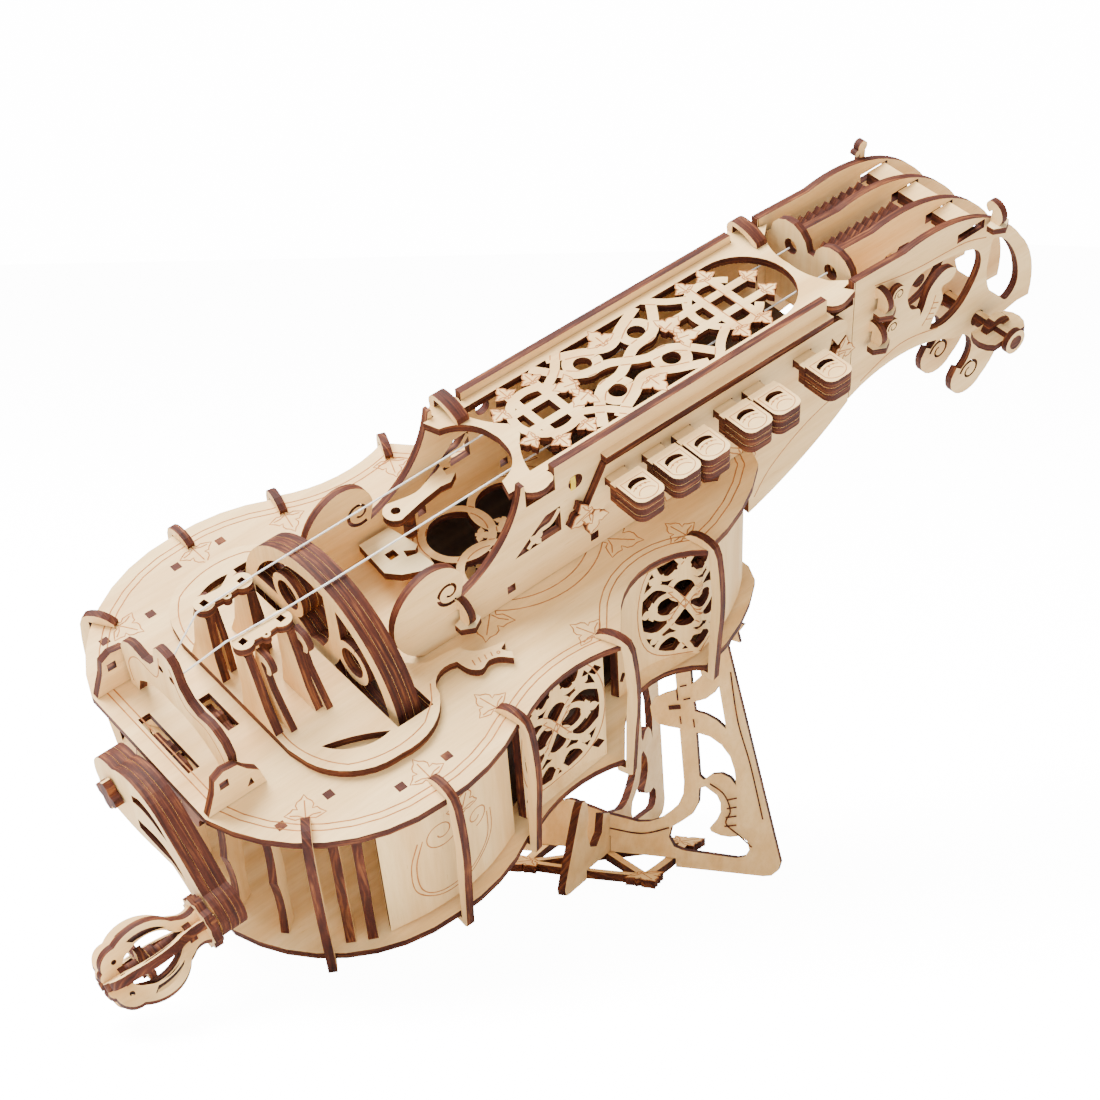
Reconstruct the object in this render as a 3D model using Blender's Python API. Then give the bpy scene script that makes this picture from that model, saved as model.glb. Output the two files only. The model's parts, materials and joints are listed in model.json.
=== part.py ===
"""Hurdy gurdy of laser-cut plywood, leaning on a loose cross-shaped stand.

The instrument is drawn in millimetres in its own frame: +X from the crank to the
pegbox, +Y to the player's far side, +Z up, with z = 0 on top of the keybox lid.
Empties carry that frame to the world, where z = 0 is the table: the neck and the
far side are raised, and one tail rib and the stand touch the table.
"""
import math

import bmesh
import bpy
from mathutils import Vector

MM = 0.001
PLY = 3.0                    # sheet thickness
GAP = 0.3                    # between pieces that touch

# where the instrument and its stand are, in world millimetres and degrees
ORIGIN = Vector((-58.11, -36.24, 164.5))
TILT = (28.6, -24.38, 0.0)   # about X, then about Y
STAND_XY = (92.0, 54.9)      # crossing line of the stand, measured from ORIGIN
STAND_TURN = -53.0           # direction of stand plate A from +X

# body
DECK_TOP = -44.0
DEPTH = 62.0                 # soundboard top to back plate underside
BACK_Z = DECK_TOP - DEPTH
PANEL_INSET = 6.0

# wheel and crank
AXIS_Z = -50.0
WHEEL_R = 43.0
WHEEL_X = -61.5
WHEEL_T = 9.0
AXLE_R = 2.5
ARM_X = -141.5
ARM_T = 9.0
HANDLE_Y = -49.0
HANDLE_Z = -15.5             # below the crank axis

# keybox
WALL_Y = 24.2                # middle of each wall
KEY_X = (37.0, 53.0, 66.0, 85.0, 98.0, 122.0)
KEY_Z = -12.5
PEG_X = 218.0
PEG_Z = -52.0
ARCH_Y = 8.5
STRING_Y = (10.0, -9.0)

COLLECTION = "hurdy_gurdy"
CUTTERS = "cutters"


# ---------------------------------------------------------------- scene and materials

def clear_scene():
    for obj in list(bpy.data.objects):
        bpy.data.objects.remove(obj, do_unlink=True)
    for coll in list(bpy.data.collections):
        bpy.data.collections.remove(coll)
    for name in (COLLECTION, CUTTERS):
        coll = bpy.data.collections.new(name)
        bpy.context.scene.collection.children.link(coll)


def material(name, colour, roughness, metallic=0.0):
    mat = bpy.data.materials.get(name) or bpy.data.materials.new(name)
    mat.use_nodes = True
    shader = mat.node_tree.nodes["Principled BSDF"]
    shader.inputs["Base Color"].default_value = (*colour, 1.0)
    shader.inputs["Roughness"].default_value = roughness
    shader.inputs["Metallic"].default_value = metallic
    mat.diffuse_color = (*colour, 1.0)
    return mat


def tint(index):
    """A birch tone of its own for each sub-part."""
    shade = 0.92 + 0.08 * math.sin(1.7 * index)
    return (0.80 * shade, 0.66 * shade, 0.47 * shade)


def link(obj, parent, collection=COLLECTION):
    bpy.data.collections[collection].objects.link(obj)
    obj.parent = parent


def empty(name, location, parent=None, turn=(0.0, 0.0, 0.0)):
    obj = bpy.data.objects.new(name, None)
    obj.location = Vector(location) * MM
    obj.rotation_euler = [math.radians(a) for a in turn]
    obj.empty_display_size = 0.01
    link(obj, parent)
    return obj


# ---------------------------------------------------------------- outlines

def arc(start, middle, end, steps=6):
    """Points on the circle through three points, from start to end."""
    (ax, ay), (bx, by), (cx, cy) = start, middle, end
    d = 2 * (ax * (by - cy) + bx * (cy - ay) + cx * (ay - by))
    a2, b2, c2 = ax * ax + ay * ay, bx * bx + by * by, cx * cx + cy * cy
    ux = (a2 * (by - cy) + b2 * (cy - ay) + c2 * (ay - by)) / d
    uy = (a2 * (cx - bx) + b2 * (ax - cx) + c2 * (bx - ax)) / d
    r = math.hypot(ax - ux, ay - uy)
    t0, t1, t2 = (math.atan2(y - uy, x - ux) for x, y in (start, middle, end))
    turn = (t2 - t0) % math.tau
    if (t1 - t0) % math.tau > turn:
        turn -= math.tau
    return [(ux + r * math.cos(t0 + turn * i / steps), uy + r * math.sin(t0 + turn * i / steps))
            for i in range(steps + 1)]


def circle(x, y, r, steps=16):
    return [(x + r * math.cos(math.tau * i / steps), y + r * math.sin(math.tau * i / steps))
            for i in range(steps)]


def rect(x0, y0, x1, y1):
    return [(x0, y0), (x1, y0), (x1, y1), (x0, y1)]


def mirror_y(points):
    return [(x, -y) for x, y in reversed(points)]


def joined(*runs):
    """One run of points, without the points that two runs share."""
    out = []
    for run in runs:
        for p in run:
            if not out or math.dist(p, out[-1]) > 0.05:
                out.append(p)
    if math.dist(out[0], out[-1]) < 0.05:
        out.pop()
    return out


def half_outline(steps=8):
    """Edge of the body on the +Y side, from the tail to the neck."""
    return joined([(-133, 33)],
                  arc((-133, 33), (-111, 64.4), (-74, 76), steps),
                  arc((-74, 76), (-54, 74), (-38, 67.5), steps // 2),
                  arc((-36, 68), (-15, 61.6), (7.5, 64.5), steps),
                  [(19, 51.5)],
                  arc((19, 51.5), (37, 44), (57, 52), steps),
                  arc((58, 51.5), (80, 45), (98, 33.5), steps // 2),
                  [(101, 27)])


def body_outline():
    half = half_outline()
    return half + mirror_y(half)


def strip(path, width):
    """Closed outline of a band of the given width along an open path."""
    left, right = [], []
    for i, p in enumerate(path):
        a = Vector(path[max(i - 1, 0)])
        b = Vector(path[min(i + 1, len(path) - 1)])
        d = (b - a).normalized()
        n = Vector((-d.y, d.x)) * width / 2
        left.append((p[0] + n.x, p[1] + n.y))
        right.append((p[0] - n.x, p[1] - n.y))
    return left + right[::-1]


def gear_outline(teeth, r_root, r_tip):
    out = []
    for i in range(teeth):
        for share, r in ((-0.30, r_root), (-0.14, r_tip), (0.14, r_tip), (0.30, r_root)):
            a = math.tau * (i + share) / teeth
            out.append((r * math.cos(a), r * math.sin(a)))
    return out


# ---------------------------------------------------------------- solids

PLANES = {"XY": (0, 0, 0), "XZ": (90, 0, 0), "YZ": (90, 0, 90)}
MADE = []


def dress(obj, rough=0.62):
    colour = tint(len(MADE))
    obj.data.materials.append(material(obj.name + "_birch", colour, rough))
    MADE.append(obj.name)


def plate(name, outline, at=(0, 0, 0), plane="XY", holes=(), thick=PLY, parent=None, turn=0.0,
          collection=COLLECTION):
    """A flat piece: outline in the plane's own axes, its middle plane through `at`."""
    data = bpy.data.curves.new(name, "CURVE")
    data.dimensions = "2D"
    data.fill_mode = "BOTH"
    data.extrude = thick * MM / 2
    for ring in (outline, *holes):
        spline = data.splines.new("POLY")
        spline.points.add(len(ring) - 1)
        for point, (x, y) in zip(spline.points, ring):
            point.co = (x * MM, y * MM, 0, 1)
        spline.use_cyclic_u = True
    obj = bpy.data.objects.new(name, data)
    link(obj, parent, collection)
    obj.location = Vector(at) * MM
    rx, ry, rz = PLANES[plane]
    obj.rotation_euler = (math.radians(rx), math.radians(ry), math.radians(rz + turn))
    if collection == COLLECTION:
        dress(obj)
    return obj


def as_mesh(obj):
    """The same piece as a mesh object, closed, so that it can be cut or joined."""
    bpy.context.view_layer.update()
    shape = obj.evaluated_get(bpy.context.evaluated_depsgraph_get())
    mesh = bpy.data.meshes.new_from_object(shape)
    bm = bmesh.new()
    bm.from_mesh(mesh)
    bmesh.ops.remove_doubles(bm, verts=bm.verts, dist=1e-6)
    bmesh.ops.recalc_face_normals(bm, faces=bm.faces)
    bm.to_mesh(mesh)
    bm.free()
    name, parent = obj.name, obj.parent
    location, rotation = obj.location.copy(), obj.rotation_euler.copy()
    colls = list(obj.users_collection)
    bpy.data.objects.remove(obj, do_unlink=True)
    new = bpy.data.objects.new(name, mesh)
    mesh.name = name
    for coll in colls:
        coll.objects.link(new)
    new.parent = parent
    new.location, new.rotation_euler = location, rotation
    return new


def as_cutter(obj):
    obj = as_mesh(obj)
    obj.hide_render = True
    obj.display_type = "WIRE"
    return obj


def combine(obj, tools, operation):
    for i, tool in enumerate(tools):
        mod = obj.modifiers.new("%s_%d" % (operation.lower(), i), "BOOLEAN")
        mod.operation = operation
        mod.solver = "EXACT"
        mod.object = tool
    return obj


def rod(name, r, x0, x1, at, parent, steps=20, collection=COLLECTION):
    """A round bar along X from x0 to x1, measured from `at`."""
    return plate(name, circle(0, 0, r, steps), (at[0] + (x0 + x1) / 2, at[1], at[2]), "YZ",
                 thick=x1 - x0, parent=parent, collection=collection)


# ---------------------------------------------------------------- body

SOUND_HOLE = (10.0, 29.0)    # centre x, radius
TAIL_SLOT = rect(-108.1, -8.7, -103.8, 8.7)
WHEEL_SLOT = (-68.5, -54.5, 46.0)


def soundboard(frame):
    x0, x1, y = WHEEL_SLOT
    holes = [circle(SOUND_HOLE[0], 0, SOUND_HOLE[1], 28), TAIL_SLOT, rect(x0, -y, x1, y),
             rect(-127.1, -14.6, -122.8, 14.6)]
    return plate("soundboard", body_outline(), (0, 0, DECK_TOP - PLY / 2), holes=holes, parent=frame)


def back_plate(frame):
    return plate("back_plate", body_outline(), (0, 0, BACK_Z + PLY / 2), parent=frame)


def side_panel(frame, name, path, window=None):
    """A bent side between the two boards, with an oval window where it has one."""
    height = DEPTH - 2 * PLY - 2 * GAP
    z = BACK_Z + DEPTH / 2
    obj = plate(name, strip(path, PLY), (0, 0, z), thick=height, parent=frame)
    if window is None:
        return obj
    obj = as_mesh(obj)
    length, tall, middle, turn = window
    cutter = plate(name + "_window", circle(0, 0, 1, 20), (*middle, z), "XZ", thick=24,
                   parent=frame, turn=turn, collection=CUTTERS)
    cutter = as_cutter(cutter)
    cutter.scale = (length / 2, tall / 2, 1)
    return combine(obj, [cutter], "DIFFERENCE")


def side_panels(frame):
    d = PANEL_INSET
    lower = joined(arc((-112, 63 - d), (-96, 71.8 - d), (-74, 76 - d), 6),
                   arc((-74, 76 - d), (-54, 74 - d), (-41, 68.6 - d), 4))
    waist = arc((-34, 67 - d), (-15, 61.6 - d), (4.5, 64 - d), 8)
    upper = joined(arc((22, 49.5 - d), (38, 44 - d), (56, 51 - d), 7),
                   arc((60, 51 - d), (80, 45 - d), (96, 34.5 - d), 5))
    for side, sign in (("left", 1), ("right", -1)):
        flip = (lambda run: run) if sign > 0 else mirror_y
        side_panel(frame, "lower_bout_panel_" + side, flip(lower))
        side_panel(frame, "waist_grille_" + side, flip(waist), (34, 40, (-15, sign * 56), 0))
        side_panel(frame, "upper_bout_panel_" + side, flip(upper), (30, 40, (39, sign * 39), 0))


RIBS = (("tail", -115.0, 61.5, 122.0), ("bout", -72.0, 76.0, 91.0), ("waist_rear", -37.0, 67.8, 78.0),
        ("waist_front", 8.0, 64.5, 68.0), ("neck", 58.0, 52.0, 80.0))


def rib_profile():
    """Hook over the soundboard, bar down the side, toe under the back plate."""
    out = GAP + 0.4
    top, low = DECK_TOP + GAP, BACK_Z - GAP
    return joined([(-9, top)], arc((-9, top + 1.2), (-3, top + 3.6), (out + 2.2, top + 1.5), 5),
                  arc((out + 3.6, top - 2), (out + 5.2, top - 22), (out + 4.2, top - 40), 5),
                  [(out + 2.6, low - 2.2), (out + 1.2, low - 3.2), (-2.4, low - 3.0), (-3, low),
                   (out, low)],
                  [(out, low + 2 * GAP), (out + 0.6, top - 40), (out + 1.6, top - 22),
                   (out + 0.4, top - 5), (out, top - 2), (out, top)])


def ribs(frame):
    for side, sign in (("left", 1), ("right", -1)):
        for label, x, y, angle in RIBS:
            plate("rib_%s_%s" % (label, side), rib_profile(), (x, sign * y, 0), "XZ",
                  parent=frame, turn=sign * angle)


def wheel_surround(frame):
    """Raised plate round the wheel slot, drawn out into an S-shaped beast on each side."""
    x0, x1, y = WHEEL_SLOT
    side = joined([(-99.5, 0)], [(-99.5, 30)], arc((-98, 38), (-90, 50), (-76, 54.5), 5),
                  arc((-74, 54.5), (-60, 53), (-50.5, 44), 4), arc((-49.5, 41), (-44.5, 36.5), (-38, 37), 3),
                  [(-32, 39.5), (-26, 44), (-19, 44.5), (-14, 48), (-11, 47)],
                  [(-12, 44), (-16, 41), (-21, 38), (-27, 38), (-31, 33.5), (-38, 31.5)],
                  arc((-41, 31.2), (-47.5, 29.4), (-51.5, 24), 3), [(-51.5, 0)])
    outline = joined(side, mirror_y(side))
    return as_mesh(plate("wheel_surround", outline, (0, 0, DECK_TOP + GAP + PLY / 2),
                         holes=[rect(x0, -y, x1, y)], parent=frame))


# ---------------------------------------------------------------- tail and bridges

def string_anchor(frame):
    base = DECK_TOP + GAP
    half = joined([(0, -5)], arc((0, -5), (4, -6), (6, -10), 3), arc((7, -15), (12, -20), (21, -20), 3),
                  arc((24, -20.5), (29, -24), (30, -32), 3), [(29, base), (24.5, base)],
                  arc((22, base + 7), (12, base + 13), (0, base + 14), 4))
    outline = joined(half, [(-x, y) for x, y in reversed(half)])
    holes = [circle(3.2, -15, 1.5, 10), circle(-3.2, -15, 1.5, 10)]
    return plate("string_anchor", outline, (-118.5, 0, 0), "YZ", holes=holes, parent=frame)


def tail_brackets(frame):
    base = DECK_TOP + GAP
    outline = [(-132, base), (-128.5, -35), (-127.5, -30), (-124, -28), (-119, -28.8), (-116, -33),
               (-112, -37), (-110.5, base)]
    holes = [rect(-126.2, -35.2, -122.9, -31.9), [(-117.2, -41), (-114.6, -41), (-115.4, -37.6)]]
    for side, y in (("left", 32.0), ("right", -32.0)):
        plate("tail_bracket_" + side, outline, (0, y, 0), "XZ", holes=holes, parent=frame)


BRIDGES = (("left", 11.0), ("right", -10.5))
BRIDGE_LEG_X = (-98.0, -82.5)
BRIDGE_TOP = -11.0


def bridges(frame):
    base = DECK_TOP + 2 * GAP + PLY
    for side, y in BRIDGES:
        s = math.copysign(1, y)
        cap = joined(arc((-101, 0), (-98, 3.4), (-94.6, 1.6), 4), arc((-93, 1.4), (-90, 2.2), (-87, 1.4), 3),
                     arc((-85.6, 1.6), (-82.2, 3.4), (-79.6, 0), 4), arc((-79.6, 0), (-82.2, -3.4), (-85.6, -1.6), 4),
                     [(-90, -1.8)], arc((-94.6, -1.6), (-98, -3.4), (-101, 0), 4))
        plate("bridge_cap_" + side, cap, (0, y, BRIDGE_TOP + PLY / 2), parent=frame)
        leg = [(-3.2, BRIDGE_TOP - GAP), (3.4, BRIDGE_TOP - GAP), (6, -20), (9, -32), (13, base),
               (-5, base), (-3.4, -30)]
        outline = [(s * px + y, pz) for px, pz in leg]
        for label, x in zip(("rear", "front"), BRIDGE_LEG_X):
            plate("bridge_leg_%s_%s" % (side, label), outline, (x, 0, 0), "YZ", parent=frame)


# ---------------------------------------------------------------- wheel, axle and crank

def wheel(pivot):
    """Rosin wheel: a rim of three sheets on four curved spokes."""
    windows = []
    for i in range(4):
        a = math.tau * i / 4
        ring = [(a + 0.20, 9.0), (a + 0.13, 34.0)]
        ring += [(a + 0.13 + (math.tau / 4 - 0.26) * k / 6, 36.5) for k in range(7)]
        ring += [(a + math.tau / 4 - 0.13, 34.0), (a + math.tau / 4 - 0.20, 9.0)]
        windows.append([(r * math.cos(t), r * math.sin(t)) for t, r in ring])
    hub = circle(0, 0, AXLE_R + GAP, 20)
    return plate("wheel", circle(0, 0, WHEEL_R, 64), (WHEEL_X, 0, 0), "YZ", holes=[hub, *windows],
                 thick=WHEEL_T, parent=pivot)


def axle(pivot):
    """Axle with the star-shaped cap that holds the crank arm on its end."""
    x0 = ARM_X - ARM_T / 2 - GAP - PLY
    bar = as_mesh(rod("axle", AXLE_R, x0, -42.0, (0, 0, 0), pivot))
    star = [(r * math.cos(math.tau * i / 16), r * math.sin(math.tau * i / 16))
            for i, r in enumerate((6.2, 5.2, 3.6, 5.2) * 4)]
    cap = plate("axle_cap", star, (x0 + PLY / 2 - 0.2, 0, 0), "YZ", parent=pivot, collection=CUTTERS)
    return combine(bar, [as_cutter(cap)], "UNION")


def crank_arm(pivot):
    """S-shaped arm, three sheets thick, from the axle to the handle."""
    upper = joined(arc((11.5, -5), (9, 8), (-2, 12.3), 5), arc((-2, 12.3), (-15, 17), (-29, 11.5), 5),
                   [(-38.8, 1.5), (-45, -5.5)], arc((-47, -7.5), (-56, -16), (-49, -23.5), 5))
    lower = joined(arc((-44, -22), (-36, -13), (-30, -9), 3), arc((-20, -10.5), (-6, -12.4), (4, -12), 4),
                   arc((4, -12), (9.5, -10.5), (11.5, -5), 3))
    return plate("crank_arm", joined(upper, lower), (ARM_X, 0, 0), "YZ",
                 holes=[circle(0, 0, AXLE_R + GAP, 20), circle(HANDLE_Y, HANDLE_Z, 2.6, 16)],
                 thick=ARM_T, parent=pivot)


HANDLE_LENGTH = 36.0


def handle_rib(trim):
    """Outline of one handle rib: x along the handle, y out from its axis, ends cut back by `trim`."""
    half = joined([(-trim, 5.5)], arc((-3, 5.4), (-6, 4.4), (-9.5, 5.0), 3),
                  arc((-12, 6.5), (-22, 11.4), (-31, 8.4), 6), arc((-32, 8), (-34.4, 6.6), (trim - HANDLE_LENGTH, 4.2), 3),
                  [(trim - HANDLE_LENGTH, 2.2)])
    return joined(half, [(x, -y) for x, y in reversed(half)])


def crank_handle(pivot):
    """Lantern-shaped grip: three crossing ribs on a collar, turning on its pin."""
    x = ARM_X - ARM_T / 2 - GAP
    body = as_mesh(plate("crank_handle", handle_rib(0), (x, 0, 0), "XY", parent=pivot))
    tools = []
    for i in (1, 2):
        blade = plate("handle_blade_%d" % i, handle_rib(0.3 * i), (x, 0, 0), "XY", parent=pivot,
                      collection=CUTTERS)
        blade.rotation_euler = (math.radians(60 * i), 0, 0)
        tools.append(as_cutter(blade))
    for i, (px, r, t) in enumerate(((-2.5, 6.4, 4.0), (-21, 7.0, 2.6))):
        tools.append(as_cutter(rod("handle_ring_%d" % i, r, -t / 2, t / 2, (x + px, 0, 0), pivot,
                                   collection=CUTTERS)))
    pin = rod("handle_pin", 2.2, -1.0, ARM_T - 0.5, (x, 0, 0), pivot, steps=16, collection=CUTTERS)
    tools.append(as_cutter(pin))
    return combine(body, tools, "UNION")


def rosette_gear(pivot):
    """Toothed disc that turns on its post under the sound hole."""
    return plate("rosette_gear", gear_outline(16, 12.0, 15.0), (0, 0, 0),
                 holes=[circle(0, 0, 2.4, 12)], parent=pivot)


# ---------------------------------------------------------------- keybox

WALL_TOP = 3.0
NECK_X = 150.0


def wall_outline():
    base = DECK_TOP + GAP
    scroll = joined(arc((-2, WALL_TOP), (-9, -18), (-26.5, -28.4), 7),
                    [(-24.8, -22)], arc((-24.6, -21), (-30, -11.5), (-38, -9.4), 4),
                    arc((-38, -9.4), (-50.5, -18), (-42.5, base), 7))
    neck = joined([(101.4, base)], [(101.4, -76.5)], arc((101.4, -76.5), (122, -68.6), (NECK_X, -52), 5),
                  [(NECK_X, WALL_TOP)])
    return joined(scroll, neck)


def key_slots(half, tall):
    return [rect(x - half, KEY_Z - tall, x + half, KEY_Z + tall) for x in KEY_X]


def keybox_walls(frame):
    window = [(16.1, -15), (16.2, -26), (-3.5, -26.4), (9.9, -15.4)]
    shared = [circle(23.0, -8.5, 3.0, 12), window]
    plate("keybox_wall_right", wall_outline(), (0, -WALL_Y, 0), "XZ", holes=shared + key_slots(4.3, 1.9),
          parent=frame)
    plate("keybox_wall_left", wall_outline(), (0, WALL_Y, 0), "XZ", holes=shared, parent=frame)


def key_rail(frame):
    outline = [(26, -16), (31.5, -7.6), (134.1, -7.6), (141.3, -19.9), (134, -22), (34, -22)]
    return plate("key_rail", outline, (0, -WALL_Y - PLY - GAP, 0), "XZ", holes=key_slots(4.3, 1.9),
                 parent=frame)


def keys(frame):
    """Six keys: a D-shaped cap of three sheets on a stem that runs in to the strings."""
    cap = joined([(-6, 0)], [(-6, -9.0)], arc((-6, -9.0), (0, -12.4), (6, -9.0), 5), [(6, 0)])
    for i, x in enumerate(KEY_X, 1):
        pivot = empty("key_%d_slide" % i, (x, -36.5, KEY_Z), frame)
        body = as_mesh(plate("key_%d" % i, cap, (0, 0, 0), thick=3 * PLY, parent=pivot))
        stem = as_cutter(plate("key_stem_%d" % i, rect(-4, -2, 4, 21), (0, 0, 0), parent=pivot,
                               collection=CUTTERS))
        combine(body, [stem], "UNION")


def lid(pivot):
    """Fretted lid between the walls; outline from its hinge line at y = 0 to the right."""
    w = 2 * (WALL_Y - PLY / 2) - 2 * GAP
    outline = joined([(0, 0)], [(2, -9)], arc((2, -9), (13, -w / 2), (2, 9 - w), 6), [(0, -w)],
                     [(151, -w)], [(148, -w + 10)], arc((147, 10 - w), (141, -w / 2), (147, -10), 5),
                     [(151, 0)])
    cells = []
    for i in range(6):
        x0 = 19 + i * 19.5
        cells += [rect(x0, -w / 2 + 2, x0 + 15, -5.5), rect(x0, 5.5 - w, x0 + 15, -w / 2 - 2)]
    return plate("lid", outline, (0, 0, -PLY / 2 - GAP), holes=cells, parent=pivot)


def nut_plate(frame):
    w = WALL_Y - PLY / 2 - GAP
    humps = joined([(-w, -30)], [(-w, -4)], arc((-w + 2, -2), (-11, 6.5), (-1.5, -2), 7),
                   arc((1.5, -2), (11, 6.5), (w - 2, -2), 7), [(w, -4)], [(w, -30)])
    holes = [circle(-10, -4, 3.2, 12), circle(10, -4, 3.2, 12)]
    return plate("nut_plate", humps, (155.5, 0, 0), "YZ", holes=holes, parent=frame)


# ---------------------------------------------------------------- pegbox

def cheek_outline(x0):
    top = joined([(x0, WALL_TOP)], arc((175, 2), (214, -3), (238, -24), 7),
                 arc((238, -24), (246, -39), (247, -57), 4), [(240.5, -56.5)])
    foot = joined([(232, -58)], arc((231, -66), (231, -76), (224, -84), 3), arc((220, -85), (207.5, -82), (208, -73.5), 4),
                  [(213, -75)], arc((215.5, -73), (213, -62), (199, -51.5), 4),
                  arc((190, -47), (172, -44), (x0 + 6, -48.5), 4), [(x0, -51)])
    return joined(top, foot)


CHEEK_HOLES = (
    ((188, -13.5), (204, -13.8), (215, -18), (219, -25), (216, -34), (210, -42), (202, -45.5), (192, -42), (185, -34),
     (183, -22)),
    ((225, -27), (231, -31), (235, -40), (235.5, -48), (230, -51.5), (227, -44), (222, -40), (222, -33)),
)


def pegbox(frame):
    holes = [list(h) for h in CHEEK_HOLES]
    peg = circle(PEG_X, PEG_Z, 3.4, 14)
    for side, y in (("left", WALL_Y), ("right", -WALL_Y)):
        plate("pegbox_cheek_" + side, cheek_outline(NECK_X + GAP), (0, y, 0), "XZ", holes=[*holes, peg],
              parent=frame)
    for side, y in (("left", ARCH_Y), ("right", -ARCH_Y)):
        plate("pegbox_arch_" + side, cheek_outline(158.0), (0, y, 0), "XZ", holes=[*holes, peg], parent=frame)


def cross_blocks(frame):
    """A block in each outer bay between the arches."""
    outer0, outer1 = ARCH_Y + PLY / 2 + GAP, WALL_Y - PLY / 2 - GAP
    for label, y0, y1 in (("left", outer0, outer1), ("right", -outer1, -outer0)):
        plate("pegbox_block_" + label, rect(205, y0, 214, y1), (0, 0, -7.0), thick=5.0, parent=frame)


RACK_Y = 16.2
RACK_Z = -9.5
RACK_X = (165.0, 199.0)


def tuner_racks(frame):
    """Zig-zag tuning bars, one beside each pair of arches."""
    pitch, x0, x1 = 4.25, *RACK_X
    teeth = int((x1 - x0) / pitch)
    upper = []
    for i in range(teeth):
        upper += [(x0 + i * pitch, 1.2), (x0 + (i + 0.5) * pitch, 3.4)]
    upper.append((x0 + teeth * pitch, 1.2))
    outline = upper + [(x, -y) for x, y in reversed(upper)]
    for side, y in (("left", RACK_Y), ("right", -RACK_Y)):
        plate("tuner_rack_" + side, outline, (0, y, RACK_Z), "XZ", parent=frame)


def tuning_pegs(frame):
    """Shaft through the cheeks with a crossed pair of discs at its outer end."""
    for side, sign in (("left", 1), ("right", -1)):
        pivot = empty("peg_%s_pivot" % side, (PEG_X, 0, PEG_Z), frame)
        y0, y1 = (4.0, 45.0) if sign > 0 else (-45.0, -4.0)
        shaft = as_mesh(plate("tuning_peg_" + side, circle(0, 0, 3.0, 13), (0, (y0 + y1) / 2, 0), "XZ",
                              thick=y1 - y0, parent=pivot))
        disc = plate("peg_disc_" + side, circle(0, 0, 6.5, 19), (0, sign * 34.5, 0), "XZ", parent=pivot,
                     collection=CUTTERS)
        wing = plate("peg_wing_" + side, joined(arc((-9, sign * 31), (-11, sign * 36), (-8, sign * 42), 4),
                                                arc((8, sign * 42), (11, sign * 36), (9, sign * 31), 4)),
                     (0, 0, 0), "XY", parent=pivot, collection=CUTTERS)
        combine(shaft, [as_cutter(disc), as_cutter(wing)], "UNION")


# ---------------------------------------------------------------- strings and string lifter

STRING_R = 0.35


def string_route(y):
    """Anchor, bridge cap, wheel rim, nut, tuner: the points that one string touches."""
    rim = AXIS_Z + math.sqrt(WHEEL_R ** 2 - y * y) + STRING_R + GAP
    inner = math.copysign(3.2, y)
    return [(-116.6, inner, -15), (-101.8, y * 0.85, BRIDGE_TOP + PLY + STRING_R + GAP),
            (-78.5, y * 0.97, BRIDGE_TOP + PLY + STRING_R + GAP), (WHEEL_X, y, rim + 0.15),
            (100, y, -4.6), (153.4, y, -4.4)]


def strings(frame):
    for side, y in zip(("left", "right"), STRING_Y):
        data = bpy.data.curves.new("string_" + side, "CURVE")
        data.dimensions = "3D"
        data.bevel_depth = STRING_R * MM
        data.bevel_resolution = 1
        data.use_fill_caps = True
        route = string_route(y)
        spline = data.splines.new("POLY")
        spline.points.add(len(route) - 1)
        for point, co in zip(spline.points, route):
            point.co = (*(Vector(co) * MM), 1)
        obj = bpy.data.objects.new("string_" + side, data)
        link(obj, frame)
        dress(obj, 0.25)


def string_lifter(frame):
    """Pivoted hook plate beside the sound hole that lifts a string off the wheel."""
    pivot = empty("lifter_pivot", (-28, 10, -36), frame)
    outline = [(7, 11), (-5.5, 11), (-6.8, -5), (-3, -9.5), (5, -13.5), (8, -12.5), (7.6, -5.4),
               (3.2, -4.2), (4.0, -1.0), (7.2, -3.4), (9.2, -2)]
    plate("string_lifter", outline, (0, 0, 0), holes=[rect(-1.8, -1.8, 1.8, 1.8)], parent=pivot)


# ---------------------------------------------------------------- stand

BASE_R, BASE_WAVE = 33.5, 7.5            # four-petalled base plate
NOTCH = (27.5, PLY + GAP)                # half width and height of the notch over the base
CROSSING = 9.0                           # height at which the two slots meet
ARM_A_TOP = 94.6                         # top of plate A's arm
ARM_B_TOP = 124.0                        # top of plate B's arm, behind the body
WAIST = 30.0                             # the arms are alike up to this height

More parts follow.
